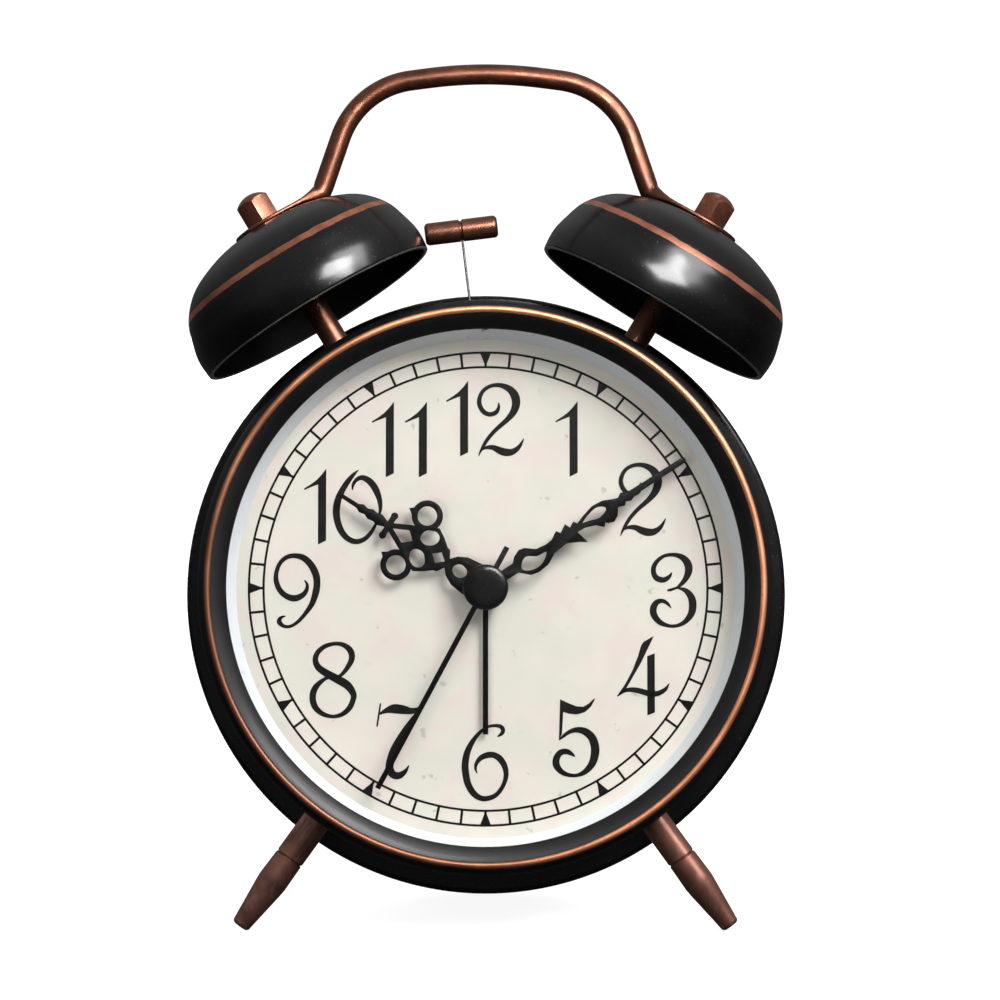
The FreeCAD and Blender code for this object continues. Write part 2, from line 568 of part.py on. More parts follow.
# ---------------------------------------------------------------- movement
def make_movement(alarm_y, hour_y, minute_y, second_y):
    """Quartz movement: seconds train, motion work for the hands, and the alarm setting."""
    half = movement_half
    low = movement_centre_z - half
    high = movement_centre_z + half
    wall = movement_wall
    inner = plate_back + wall
    front = block(-half, half, plate_back, movement_split, low, high)
    front = front.cut(block(-half + wall, half - wall, inner, movement_split, low + wall, high - wall))
    front = front.fuse(cylinder_y(bushing_radius, dial_front - 0.6, inner))
    front = front.cut(cylinder_y(alarm_pipe_outer + running_gap, dial_front - 1, inner + 1))
    nodes["movement_front"] = front.removeSplitter()
    back = block(-half, half, movement_split, movement_back, low, high)
    back = back.cut(block(-half + wall, half - wall, movement_split, movement_back - wall,
                          low + wall, high - wall))

    # Motion work: the cannon pinion turns the motion wheel, whose pinion turns the hour wheel.
    motion_x = -time_module * (10 + 30) / 2
    alarm_x = time_module * (36 + 9) / 2
    alarm_wheel_y = inner + 0.4
    hour_wheel_y = alarm_wheel_y + 1.3
    motion_wheel_y = hour_wheel_y + 1.7
    cannon_tooth = 0.0
    motion_tooth = meshed(cannon_tooth, 10, 30, 180)
    pinion_tooth = 0.0
    hour_tooth = meshed(pinion_tooth, 8, 32, 0)
    alarm_tooth = 0.0
    alarm_pinion_tooth = meshed(alarm_tooth, 36, 9, 0)
    minute_back = motion_wheel_y + 1.6

    hour = gear(32, time_module, hour_wheel_y, wheel_thick, 0, 0, hour_tooth)
    hour = hour.fuse(cylinder_y(hour_pipe_outer, hour_y, hour_wheel_y + wheel_thick))
    bore = cylinder_y(minute_pipe_outer + running_gap, hour_y - 1, hour_wheel_y + 2)
    nodes["hour_wheel"] = hour.cut(bore).removeSplitter()

    minute = gear(10, time_module, motion_wheel_y - 0.2, wheel_thick + 0.4, 0, 0, cannon_tooth)
    minute = minute.fuse(cylinder_y(minute_pipe_outer, minute_y, minute_back))
    bore = cylinder_y(second_arbor_radius + running_gap, minute_y - 1, minute_back + 1)
    nodes["minute_arbor"] = minute.cut(bore).removeSplitter()

    arbor_end = cover_back + knob_height - 2.0
    motion = gear(30, time_module, motion_wheel_y, wheel_thick, motion_x, 0, motion_tooth)
    motion = motion.fuse(gear(8, time_module, hour_wheel_y - 0.1, wheel_thick + 1.3, motion_x, 0,
                              pinion_tooth))
    motion = motion.fuse(cylinder_y(arbor_radius, hour_wheel_y - 0.1, arbor_end, motion_x))
    nodes["motion_wheel"] = motion.removeSplitter()

    alarm = gear(36, time_module, alarm_wheel_y, wheel_thick, 0, 0, alarm_tooth)
    alarm = alarm.fuse(cylinder_y(alarm_pipe_outer, alarm_y, alarm_wheel_y + wheel_thick))
    bore = cylinder_y(hour_pipe_outer + running_gap, alarm_y - 1, alarm_wheel_y + 2)
    nodes["alarm_wheel"] = alarm.cut(bore).removeSplitter()
    arbor = gear(9, time_module, alarm_wheel_y - 0.1, wheel_thick + 0.2, alarm_x, 0,
                 alarm_pinion_tooth)
    arbor = arbor.fuse(cylinder_y(alarm_arbor_radius, alarm_wheel_y - 0.1, arbor_end, alarm_x))
    nodes["alarm_arbor"] = arbor.removeSplitter()

    # Seconds train: rotor, third wheel and second wheel stand one below the other.
    third_z = -train_module * (45 + 9) / 2
    rotor_z = third_z - train_module * (42 + 7) / 2
    second_wheel_y = minute_back + 0.8
    third_wheel_y = second_wheel_y + 1.6
    second_tooth = 270.0
    third_pinion_tooth = meshed(second_tooth, 45, 9, 270)
    third_tooth = 270.0
    rotor_tooth = meshed(third_tooth, 42, 7, 270)
    second = gear(45, train_module, second_wheel_y, wheel_thick, 0, 0, second_tooth)
    second = second.fuse(cylinder_y(second_arbor_radius, second_y, second_wheel_y + 1.2))
    nodes["second_wheel"] = second.removeSplitter()
    third = gear(42, train_module, third_wheel_y, wheel_thick, 0, third_z, third_tooth)
    third = third.fuse(gear(9, train_module, second_wheel_y - 0.1, 2.0, 0, third_z,
                            third_pinion_tooth))
    third_back = movement_back - wall
    third = third.fuse(cylinder_y(0.4, second_wheel_y - 0.9, third_back + 0.5, 0, third_z))
    nodes["third_wheel"] = third.removeSplitter()
    magnet_front = third_wheel_y - 4.4
    rotor = gear(7, train_module, third_wheel_y - 0.1, wheel_thick + 0.2, 0, rotor_z, rotor_tooth)
    rotor = rotor.fuse(cylinder_y(2.4, magnet_front, magnet_front + 2.2, 0, rotor_z))
    rotor = rotor.fuse(cylinder_y(0.4, magnet_front - 0.8, third_back + 0.5, 0, rotor_z))
    nodes["rotor"] = rotor.removeSplitter()

    for x, z, radius in ((motion_x, 0, arbor_radius), (alarm_x, 0, alarm_arbor_radius),
                         (0, third_z, 0.4), (0, rotor_z, 0.4)):
        back = back.cut(cylinder_y(radius + running_gap, third_back - 1, movement_back + 1, x, z))
    nodes["movement_back"] = back

    # Two-pole stator around the rotor's magnet, closed by the coil's core below it.
    stator = block(-14, 14, magnet_front + 0.4, magnet_front + 1.8, rotor_z - 6.5, rotor_z + 3.2)
    stator = stator.cut(cylinder_y(2.4 + free_gap, magnet_front, magnet_front + 3, 0, rotor_z))
    stator = stator.cut(block(-8.5, 8.5, magnet_front, magnet_front + 3, rotor_z - 9, rotor_z - 3.6))
    core = block(-14, 14, magnet_front + 1.8, magnet_front + 2.8, rotor_z - 6.5, rotor_z - 3.9)
    nodes["stator"] = stator.fuse(core.cut(block(-8.5, 8.5, 0, 99, rotor_z - 9, rotor_z))
                                  ).removeSplitter()
    bobbin_z = rotor_z - 6.3
    nodes["drive_coil"] = Part.makeCylinder(2.2, 16.6, FreeCAD.Vector(-8.3, magnet_front + 1.1,
                                                                      bobbin_z), AXIS_X)
    return motion_x, alarm_x, arbor_end


# ---------------------------------------------------------------- rear cover and what is on it
def make_rear(motion_x, alarm_x, arbor_end):
    inner_face = cover_back - cover_sheet
    slope = cover_rise - 1.4
    cover = turned_y([(0, inner_face), (cover_plateau_radius - cover_sheet, inner_face),
                      (cover_plateau_radius - cover_sheet + slope, drum_back),
                      (cover_flange_radius, drum_back), (cover_flange_radius, drum_back + 1.4),
                      (cover_plateau_radius + slope, drum_back + 1.4),
                      (cover_plateau_radius, cover_back), (0, cover_back)])

    # Battery bay: a box let into the cover, just deep enough for two cells side by side.
    cell_y = inner_face - free_gap - cell_radius
    bay_half_x = cell_length / 2 + 1.95
    bay_half_z = cell_pitch / 2 + cell_radius + 0.2
    bay_floor = cell_y - cell_radius - free_gap
    bay_low = bay_centre_z - bay_half_z
    bay_high = bay_centre_z + bay_half_z
    shell = block(-bay_half_x - bay_wall, bay_half_x + bay_wall, bay_floor - bay_wall, inner_face,
                  bay_low - bay_wall, bay_high + bay_wall)
    hollow = block(-bay_half_x, bay_half_x, bay_floor, cover_back + 1, bay_low, bay_high)
    cover = cover.fuse(shell).cut(hollow)
    for side in (-1, 1):
        cover = cover.fuse(cylinder_y(2.2, inner_face - board_gap, inner_face,
                                      side * board_post_x, board_post_z))

    door = block(-bay_half_x + free_gap, bay_half_x - free_gap, inner_face, cover_back,
                 bay_low + free_gap, bay_high - free_gap)
    for k in range(4):
        door = door.fuse(block(-6, 6, cover_back, cover_back + 0.5, bay_low + 4 + 1.6 * k,
                               bay_low + 4.8 + 1.6 * k))
    nodes["battery_door"] = door.removeSplitter()

    for name, shift, way in (("upper", 0.5, 1), ("lower", -0.5, -1)):
        z = bay_centre_z + shift * cell_pitch
        can = Part.makeCylinder(cell_radius, cell_length - 1.2,
                                FreeCAD.Vector(-way * cell_length / 2, cell_y, z), AXIS_X * way)
        nub = Part.makeCylinder(2.6, 1.2, FreeCAD.Vector(way * (cell_length / 2 - 1.2), cell_y, z),
                                AXIS_X * way)
        nodes["battery_cell_" + name] = can.fuse(nub).removeSplitter()
    for side, name in ((-1, "left"), (1, "right")):
        strip = block(bay_half_x - 0.4, bay_half_x, cell_y - 5, cell_y + 5, bay_low + 3, bay_high - 3)
        for shift in (-0.5, 0.5):
            strip = strip.fuse(Part.makeCone(3.4, 1.8, bay_half_x - 0.4 - cell_length / 2,
                                             FreeCAD.Vector(bay_half_x - 0.4, cell_y,
                                                            bay_centre_z + shift * cell_pitch),
                                             AXIS_X * -1))
        strip = strip.removeSplitter()
        nodes["battery_contact_" + name] = strip if side > 0 else strip.mirror(ORIGIN, AXIS_X)

    # Setting knobs, with grip grooves, on their arbors.
    for name, x, shaft in (("time_set_knob", motion_x, arbor_radius),
                           ("alarm_set_knob", alarm_x, alarm_arbor_radius)):
        cover = cover.cut(cylinder_y(shaft + running_gap, inner_face - 1, cover_back + 1, x))
        knob = cylinder_y(knob_radius, cover_back + free_gap, cover_back + knob_height, x)
        grooves = [cylinder_y(0.45, cover_back, cover_back + knob_height + 1,
                              x + knob_radius * math.cos(k * math.pi / 12),
                              knob_radius * math.sin(k * math.pi / 12)) for k in range(24)]
        knob = knob.cut(grooves[0].fuse(grooves[1:]))
        nodes[name] = knob.cut(cylinder_y(shaft, cover_back, arbor_end, x))

    # Alarm switch: a slider in a slot, its foot behind the cover.
    half = switch_travel / 2
    cover = cover.cut(block(switch_x - half - 1.8, switch_x + half + 1.8, inner_face - 1,
                            cover_back + 1, switch_z - 1.3, switch_z + 1.3))
    neck = block(switch_x - half - 1.5, switch_x - half + 1.5, inner_face - 1, cover_back + free_gap,
                 switch_z - 1.0, switch_z + 1.0)
    grip = block(switch_x - half - 2.5, switch_x - half + 2.5, cover_back + free_gap,
                 cover_back + 2.2, switch_z - 2.4, switch_z + 2.4)
    keep = block(switch_x - half - 3.0, switch_x - half + 3.0, inner_face - 1.8,
                 inner_face - free_gap, switch_z - 2.0, switch_z + 2.0)
    nodes["alarm_switch"] = neck.fuse([grip, keep]).removeSplitter()

    # Light button: a stepped plunger, its flange behind the cover.
    button_z = switch_z
    cover = cover.cut(cylinder_y(button_radius + running_gap, inner_face - 1, cover_back + 1,
                                 button_x, button_z))
    plunger = cylinder_y(button_radius, inner_face - 1, cover_back + button_travel + 0.6,
                         button_x, button_z)
    collar = cylinder_y(button_radius + 1.0, inner_face - 1.0, inner_face - free_gap,
                        button_x, button_z)
    nodes["light_button"] = plunger.fuse(collar).removeSplitter()

    board_back = inner_face - board_gap
    nodes["circuit_board"] = block(-26, 26, board_back - 1.2, board_back, switch_z - 7, switch_z + 8)
    for side, name in ((-1, "left"), (1, "right")):
        middle = (cover_flange_radius + drum_radius) / 2
        screw_x = side * middle * math.cos(math.radians(20))
        screw_z = middle * math.sin(math.radians(20))
        head = cylinder_y(1.5, drum_back + 1.4, drum_back + 2.4, screw_x, screw_z)
        shank = cylinder_y(0.75, drum_back - 2.4, drum_back + 1.4, screw_x, screw_z)
        slot = block(screw_x - 2, screw_x + 2, drum_back + 2.0, drum_back + 3,
                     screw_z - 0.2, screw_z + 0.2)
        cover = cover.cut(shank)
        nodes["rear_ring"] = nodes["rear_ring"].cut(shank)
        nodes["cover_screw_" + name] = head.fuse(shank).cut(slot)
    nodes["rear_cover"] = cover.removeSplitter()


# ---------------------------------------------------------------- standing the clock up
def stand_up():
    """Leans the clock back, sets it on the floor plane and centres its bounding box."""
    box = None
    for name, shape in nodes.items():
        leaned = shape.copy()
        leaned.rotate(ORIGIN, AXIS_X, -lean_deg)
        leaned.translate(AXIS_Z * floor_drop)
        nodes[name] = leaned
    below_floor = block(-30, 30, -100, 100, -10, 0)
    nodes["rear_ring"] = nodes["rear_ring"].cut(below_floor)
    for shape in nodes.values():
        bounds = shape.optimalBoundingBox(False, False)
        if box is None:
            box = bounds
        box.add(bounds)
    shift_y = -(box.YMin + box.YMax) / 2
    for name, shape in nodes.items():
        moved = shape.copy()
        moved.translate(AXIS_Y * shift_y)
        nodes[name] = moved
    return shift_y


make_front()
make_case()
make_legs()
make_bells()
make_handle()
make_striker()
hand_places = make_hands()
arbor_places = make_movement(*hand_places)
make_rear(*arbor_places)
shift_back = stand_up()
for node_name, node_shape in nodes.items():
    node_shape.exportStep("parts/" + node_name + ".step")
print(len(nodes), "pieces; dial axis at height", round(floor_drop, 3), "moved back by",
      round(shift_back, 3), "hammer swings", round(2 * hammer_lean_deg, 3), "degrees")
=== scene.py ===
import json
import math

import bmesh
import bpy
from mathutils import Matrix, Vector

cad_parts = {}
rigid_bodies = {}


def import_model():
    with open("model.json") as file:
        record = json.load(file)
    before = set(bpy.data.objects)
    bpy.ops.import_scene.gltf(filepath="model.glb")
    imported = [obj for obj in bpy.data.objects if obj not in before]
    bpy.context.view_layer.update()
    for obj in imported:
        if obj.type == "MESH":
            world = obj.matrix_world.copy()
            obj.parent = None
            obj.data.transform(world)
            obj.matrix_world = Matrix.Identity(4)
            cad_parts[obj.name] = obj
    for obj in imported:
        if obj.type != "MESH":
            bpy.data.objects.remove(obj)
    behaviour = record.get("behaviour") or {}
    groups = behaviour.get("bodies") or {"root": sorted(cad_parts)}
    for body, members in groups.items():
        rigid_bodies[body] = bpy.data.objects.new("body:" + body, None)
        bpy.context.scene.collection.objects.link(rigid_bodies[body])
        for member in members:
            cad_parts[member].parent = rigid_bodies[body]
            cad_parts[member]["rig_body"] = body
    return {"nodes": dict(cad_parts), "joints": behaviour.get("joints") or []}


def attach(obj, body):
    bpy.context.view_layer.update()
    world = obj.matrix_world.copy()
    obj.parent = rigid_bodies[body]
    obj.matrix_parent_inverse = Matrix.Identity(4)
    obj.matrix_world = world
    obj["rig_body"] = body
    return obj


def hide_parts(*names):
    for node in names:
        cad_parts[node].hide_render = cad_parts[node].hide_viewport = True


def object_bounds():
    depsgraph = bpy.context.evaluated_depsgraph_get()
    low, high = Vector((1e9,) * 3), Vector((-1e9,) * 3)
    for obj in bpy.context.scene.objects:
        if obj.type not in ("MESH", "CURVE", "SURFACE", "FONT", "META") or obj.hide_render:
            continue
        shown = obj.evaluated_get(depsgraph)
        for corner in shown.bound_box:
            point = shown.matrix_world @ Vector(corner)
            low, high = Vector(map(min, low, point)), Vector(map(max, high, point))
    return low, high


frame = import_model()
cad_low, cad_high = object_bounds()

# ---------------------------------------------------------------- case drum
# The case is a short tube of rolled steel sheet, dipped in satin black enamel. Legs, bell posts
# and the rear ring are fastened to it, and everything else is placed from its dial axis, so the
# clock's own frame, the shader wires and the smoothing of sheet metal are set up here.
MM = 0.001
on_scene = bpy.context.scene.collection.objects
turning = next(j for j in frame["joints"] if j["name"] == "second_turn")
dial_axis = Vector(turning["axis"]).normalized()
face_up = Vector((1, 0, 0)).cross(dial_axis)
on_axis = Vector(turning["pos_m"])
front_plane = min((point.co - on_axis).dot(dial_axis)
                  for point in frame["nodes"]["bezel_bead"].data.vertices)
face_centre = on_axis + dial_axis * front_plane

# From millimetres in the clock's own frame (X right, Y back along the dial axis, Z up the face)
# to metres.
CLOCK = Matrix.Translation(face_centre) @ Matrix((
    (MM, 0, 0, 0),
    (0, dial_axis.y * MM, face_up.y * MM, 0),
    (0, dial_axis.z * MM, face_up.z * MM, 0),
    (0, 0, 0, 1)))
# The same for a piece turned about the dial axis: its own Z runs back along that axis.
ABOUT_DIAL = CLOCK @ Matrix.Rotation(math.radians(-90), 4, "X")


class Wire:
    """One output in a material's node tree. Arithmetic on it adds Math nodes."""

    SOCKETS = {"metal": "Metallic", "specular": "Specular IOR Level", "coat": "Coat Weight",
               "coat_rough": "Coat Roughness", "glow": "Emission Color",
               "glow_strength": "Emission Strength"}

    def __init__(self, tree, socket=None):
        self.tree = tree
        self.socket = socket

    def node(self, kind, sockets=(), out=0, stops=None, **settings):
        """Adds a shader node: its settings first, then its sockets as values or wires."""
        made = self.tree.nodes.new("ShaderNode" + kind)
        for key, value in settings.items():
            setattr(made, key, value)
        if stops:
            ramp = made.color_ramp
            while len(ramp.elements) < len(stops):
                ramp.elements.new(0.5)
            for element, (place, colour) in zip(ramp.elements, stops):
                element.position = place
                element.color = (*colour, 1)
        for key, value in dict(sockets).items():
            socket = made.inputs[key]
            if isinstance(value, Wire):
                self.tree.links.new(value.socket, socket)
            elif socket.type == "RGBA":
                socket.default_value = (*value, 1)
            else:
                socket.default_value = value
        return Wire(self.tree, made.outputs[out])

    def maths(self, operation, first, second=0.0):
        return self.node("Math", {0: first, 1: second}, operation=operation)

    def __add__(self, other):
        return self.maths("ADD", self, other)

    def __radd__(self, other):
        return self.maths("ADD", other, self)

    def __sub__(self, other):
        return self.maths("SUBTRACT", self, other)

    def __rsub__(self, other):
        return self.maths("SUBTRACT", other, self)

    def __mul__(self, other):
        return self.maths("MULTIPLY", self, other)

    def __rmul__(self, other):
        return self.maths("MULTIPLY", other, self)

    def position(self):
        """The point on the piece, in the piece's own metres."""
        return self.node("TexCoord", out="Object")

    def along(self, direction):
        """How far the point lies along a direction, in that direction's own scale."""
        return self.node("VectorMath", {0: self.position(), 1: direction}, out="Value",
                         operation="DOT_PRODUCT")

    def noise(self, grain_mm, detail=4.0, rough=0.55, place=None, stretch=None):
        """Cloudy values about 0.5 with features of the given size."""
        place = place or self.position()
        if stretch:
            place = self.node("Mapping", {"Vector": place, "Scale": stretch})
        return self.node("TexNoise", {"Vector": place, "Scale": 1 / (grain_mm * MM),
                                      "Detail": detail, "Roughness": rough}, out="Fac")

    def between(self, low, high, to_low=0.0, to_high=1.0):
        """Eases this wire from to_low at low to to_high at high."""
        return self.node("MapRange", {"Value": self, "From Min": low, "From Max": high,
                                      "To Min": to_low, "To Max": to_high},
                         interpolation_type="SMOOTHSTEP")

    def blend(self, under, over):
        """Colour that goes from under to over as this wire goes from 0 to 1."""
        return self.node("Mix", {0: self, 6: under, 7: over}, out=2, data_type="RGBA")

    def clouded(self, under, over):
        """Colour that drifts from under to over with a noise."""
        return self.between(0.3, 0.7).blend(under, over)

    def bump(self, strength, depth_mm):
        """Surface relief with this wire as its height."""
        return self.node("Bump", {"Height": self, "Strength": strength, "Distance": depth_mm * MM})

    def surface(self, colour, roughness, normal=None, **more):
        """The shader of a solid surface; more names its other sockets."""
        sockets = {"Base Color": colour, "Roughness": roughness}
        if normal:
            sockets["Normal"] = normal
        for key, value in more.items():
            sockets[self.SOCKETS[key]] = value
        return self.node("BsdfPrincipled", sockets, out="BSDF")


def finish(name, build):
    """Makes a material; build gets the first wire and gives back the surface."""
    made = bpy.data.materials.new(name)
    made.use_nodes = True
    tree = made.node_tree
    tree.nodes.clear()
    surface = build(Wire(tree))
    end = tree.nodes.new("ShaderNodeOutputMaterial")
    tree.links.new(surface.socket, end.inputs["Surface"])
    return made


DUST_GREY = (0.10, 0.095, 0.09)
ENAMEL_COAT = {"coat": 0.05, "coat_rough": 0.12}


def black_enamel(rough):
    """Satin enamel: a very fine orange peel, hazy patches and a little dust."""
    def build(wire):
        haze = wire.noise(14, 3)
        dust = wire.noise(0.55, 1, 0.4).between(0.69, 0.75)
        black = haze.clouded((0.0022, 0.0022, 0.0025), (0.0045, 0.0045, 0.005))
        roughness = haze.between(0.25, 0.75, rough - 0.03, rough + 0.03) + dust * 0.15
        return wire.surface((dust * 0.06).blend(black, DUST_GREY), roughness,
                            wire.noise(0.9, 2).bump(0.03, 0.05), specular=0.22, **ENAMEL_COAT)
    return build


enamel = finish("satin_black_enamel", black_enamel(0.26))


def smooth_edges(mesh, limit_deg):
    """Smooths the mesh but keeps every edge sharper than the limit crisp."""
    work = bmesh.new()
    work.from_mesh(mesh)
    for face in work.faces:
        face.smooth = True
    limit = math.radians(limit_deg)
    for edge in work.edges:
        edge.smooth = len(edge.link_faces) == 2 and edge.calc_face_angle(0) < limit
    work.to_mesh(mesh)
    work.free()


def settle(piece, node, *also):
    """Gives a finished piece the body of the CAD node it stands for, and hides that node and any
    others given.
    """
    cad = frame["nodes"][node]
    on_scene.link(piece)
    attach(piece, cad["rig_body"])
    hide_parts(node, *also)
    return piece


def as_plain_mesh(piece):
    """The mesh that the piece's modifiers make, with the modifiers taken off the piece."""
    on_scene.link(piece)
    bpy.context.view_layer.update()
    made = piece.evaluated_get(bpy.context.evaluated_depsgraph_get())
    mesh = bpy.data.meshes.new_from_object(made)
    on_scene.unlink(piece)
    piece.modifiers.clear()
    return mesh


WELD_MM = 0.002
FLAT_DEG = 0.6


def dressed(node, material, edge_mm=0.0, limit_deg=32):
    """The CAD node's own shape in a new finish, welded, smoothed, its edges eased by edge_mm."""
    mesh = frame["nodes"][node].data.copy()
    work = bmesh.new()
    work.from_mesh(mesh)
    bmesh.ops.remove_doubles(work, verts=work.verts, dist=WELD_MM * MM)
    if edge_mm:
        bmesh.ops.dissolve_limit(work, angle_limit=math.radians(FLAT_DEG), verts=work.verts,
                                 edges=work.edges)
    work.to_mesh(mesh)
    work.free()
    mesh.materials.clear()
    mesh.materials.append(material)
    piece = bpy.data.objects.new(node + "_finished", mesh)
    if edge_mm:
        eased = piece.modifiers.new("eased_edges", "BEVEL")
        eased.width = edge_mm * MM
        eased.segments = 2
        eased.limit_method = "ANGLE"
        eased.angle_limit = math.radians(limit_deg)
        eased.use_clamp_overlap = True
        piece.data = as_plain_mesh(piece)
    smooth_edges(piece.data, limit_deg)
    return settle(piece, node)


dressed("case_drum", enamel)

# ---------------------------------------------------------------- rear ring
# A moulded and enamelled ring round the back of the drum. The cover is screwed to it, and the
# clock leans back on the small flat at its lowest point.
dressed("rear_ring", enamel)

# ---------------------------------------------------------------- bezel
# Spun steel bezel, pressed over the front of the drum: an outer skirt, a crest with a groove for
# the copper bead, and a sloping inner band down to the glass.
BEZEL_STEPS = 240
BEAD_RADIUS = 56.25
BEAD_ROUND = 0.65
BEAD_CLEAR = 0.01
BEZEL_RADIUS = 58.35
BEZEL_LENGTH = 8.0
BEZEL_FRONT = 0.46
SIGHT_RADIUS = 52.5
DRUM_RADIUS = 57.4
GLASS_FRONT = 3.6
POLE_RADIUS = 1e-6


def turned(profile, steps, closed=True):
    """Points and faces of a (radius, height) profile turned about Z, closed or pole to pole."""
    points, rings, faces = [], [], []
    for radius, height in profile:
        count = steps if radius > POLE_RADIUS else 1
        rings.append([len(points) + k for k in range(count)])
        for k in range(count):
            angle = 2 * math.pi * k / steps
            points.append((radius * math.cos(angle), radius * math.sin(angle), height))
    pairs = list(zip(rings, rings[1:] + rings[:1] if closed else rings[1:]))
    for lower, upper in pairs:
        for k in range(steps):
            low = [lower[k % len(lower)], lower[(k + 1) % len(lower)]]
            high = [upper[(k + 1) % len(upper)], upper[k % len(upper)]]
            corners = low + high
            faces.append([c for i, c in enumerate(corners) if c not in corners[:i]])
    return points, faces


def eased(profile, by, steps=4, closed=True):
    """Rounds every corner of a profile by at most that much along its sides."""
    count = len(profile)
    smooth = []
    for i, corner in enumerate(profile):
        if not closed and i in (0, count - 1):
            smooth.append(corner)
            continue
        here = Vector(corner)
        before = Vector(profile[i - 1]) - here
        after = Vector(profile[(i + 1) % count]) - here
        start = here + before.normalized() * min(by, before.length * 0.45)
        end = here + after.normalized() * min(by, after.length * 0.45)
        for k in range(steps + 1):
            t = k / steps
            smooth.append(tuple(start * (1 - t) ** 2 + here * 2 * t * (1 - t) + end * t ** 2))
    return smooth


def formed(name, points, faces, place, materials, limit_deg=40):
    """A mesh object from points in millimetres, put in its place, its faces turned outwards."""
    mesh = bpy.data.meshes.new(name)
    mesh.from_pydata([place @ Vector(p) for p in points], [], faces)
    work = bmesh.new()
    work.from_mesh(mesh)
    bmesh.ops.recalc_face_normals(work, faces=work.faces)
    work.to_mesh(mesh)
    work.free()
    for material in materials:
        mesh.materials.append(material)
    smooth_edges(mesh, limit_deg)
    return bpy.data.objects.new(name, mesh)


def groove(centre, round_of, start_deg, end_deg, steps=12):
    """Points round part of a bead's section, as (radius, height)."""
    step = (end_deg - start_deg) / steps
    angles = [math.radians(start_deg + step * k) for k in range(steps + 1)]
    return [(centre[0] + round_of * math.cos(angle), centre[1] + round_of * math.sin(angle))
            for angle in angles]


bezel_outer = eased([(57.02, BEZEL_FRONT), (57.8, 1.2), (BEZEL_RADIUS, 2.55),
                     (BEZEL_RADIUS, BEZEL_LENGTH), (DRUM_RADIUS, BEZEL_LENGTH),
                     (DRUM_RADIUS, GLASS_FRONT), (SIGHT_RADIUS, GLASS_FRONT),
                     (SIGHT_RADIUS, 3.05), (55.48, BEZEL_FRONT)], 0.35, closed=False)
bezel_groove = groove((BEAD_RADIUS, BEAD_ROUND), BEAD_ROUND + BEAD_CLEAR, 197, -17)
bezel_shape = turned(bezel_outer + bezel_groove, BEZEL_STEPS)
matt_enamel = finish("matt_black_enamel", black_enamel(0.44))
settle(formed("bezel_finished", *bezel_shape, ABOUT_DIAL, [matt_enamel]), "bezel")


# ---------------------------------------------------------------- copper bead
# A thin ring of polished copper wire let into the crest of the bezel and lacquered.
def polished_copper(wire):
    """Bright lacquered copper with painted shade that darkens it to brown low on the left, and a
    few brown spots.
    """
    tone = wire.noise(9, 4).between(0.3, 0.7)
    spots = wire.noise(1.1, 3).between(0.63, 0.72)
    # Painted shade: the copper darkens to brown towards the lower left and stays bright towards
    # the upper right, with a noisy edge between.
    towards_lit_side = wire.along((0.8 / MM, 0, 0.6 / MM))
    tarnish_or_painted_shade = (towards_lit_side + (tone - 0.5) * 8).between(-12, 62, 1.0, 0.0)
    warm = tone.blend((0.56, 0.20, 0.09), (0.72, 0.30, 0.155))
    brown = (tarnish_or_painted_shade * 0.9).blend(warm, (0.13, 0.048, 0.026))
    colour = (spots * 0.6).blend(brown, (0.20, 0.07, 0.035))
    return wire.surface(colour, tone.between(0, 1, 0.44, 0.52) + spots * 0.1,
                        wire.noise(0.5, 2).bump(0.08, 0.03), metal=0.7)


bead_copper = finish("polished_copper", polished_copper)
BEAD_STEPS = 20
bead_section = groove((BEAD_RADIUS, BEAD_ROUND), BEAD_ROUND, 0, 360 - 360 / BEAD_STEPS,
                      BEAD_STEPS - 1)
bead_shape = turned(bead_section, BEZEL_STEPS)
settle(formed("bezel_bead_finished", *bead_shape, ABOUT_DIAL, [bead_copper], 80), "bezel_bead")


# ---------------------------------------------------------------- glass
# A flat disc of mineral glass behind the bezel's lip. It lets nearly all light through and only
# mirrors at a glancing angle; a little dust lies on it.
def pane(wire):
    clear = wire.node("BsdfTransparent", {"Color": (0.985, 0.99, 0.985)})
    dust = wire.noise(0.7, 2).between(0.68, 0.78)
    shine = wire.surface((0.85, 0.88, 0.88), wire.noise(20, 2).between(0.3, 0.7, 0.04, 0.08),
                         metal=1.0)
    glance = wire.node("LayerWeight", {"Blend": 0.28}, out="Fresnel")
    outside = 1.0 - wire.node("NewGeometry", out="Backfacing")
    return wire.node("MixShader", {0: (glance * 0.7 + dust * 0.02) * outside, 1: clear, 2: shine})


GLASS_BACK = 5.1
GLASS_RADIUS = 56.6
FLAT_RADIUS = 56.0
glass = finish("mineral_glass", pane)
glass_section = eased([(0, GLASS_FRONT), (FLAT_RADIUS, GLASS_FRONT), (GLASS_RADIUS, GLASS_FRONT),
                       (GLASS_RADIUS, GLASS_BACK), (FLAT_RADIUS, GLASS_BACK), (0, GLASS_BACK)],
                      0.2, 3, closed=False)
glass_shape = turned(glass_section, 180, closed=False)
lens = settle(formed("lens_finished", *glass_shape, ABOUT_DIAL, [glass]), "lens")
lens.visible_shadow = False


# ---------------------------------------------------------------- dial flange
# Stamped aluminium ring, satin silvered, that slopes from behind the glass down to the dial.
def silvered(wire):
    brushed = wire.noise(0.6, 4, 0.7)
    cloudy = wire.noise(16, 3).between(0.3, 0.7)
    colour = cloudy.blend((0.78, 0.82, 0.87), (0.84, 0.87, 0.91))
    stained = (wire.noise(2.2, 3).between(0.66, 0.74) * 0.35).blend(colour, (0.36, 0.33, 0.30))
    return wire.surface(stained, brushed.between(0.3, 0.7, 0.36, 0.48), brushed.bump(0.08, 0.03),
                        metal=0.05)


dressed("dial_flange", finish("satin_silver", silvered), limit_deg=50)


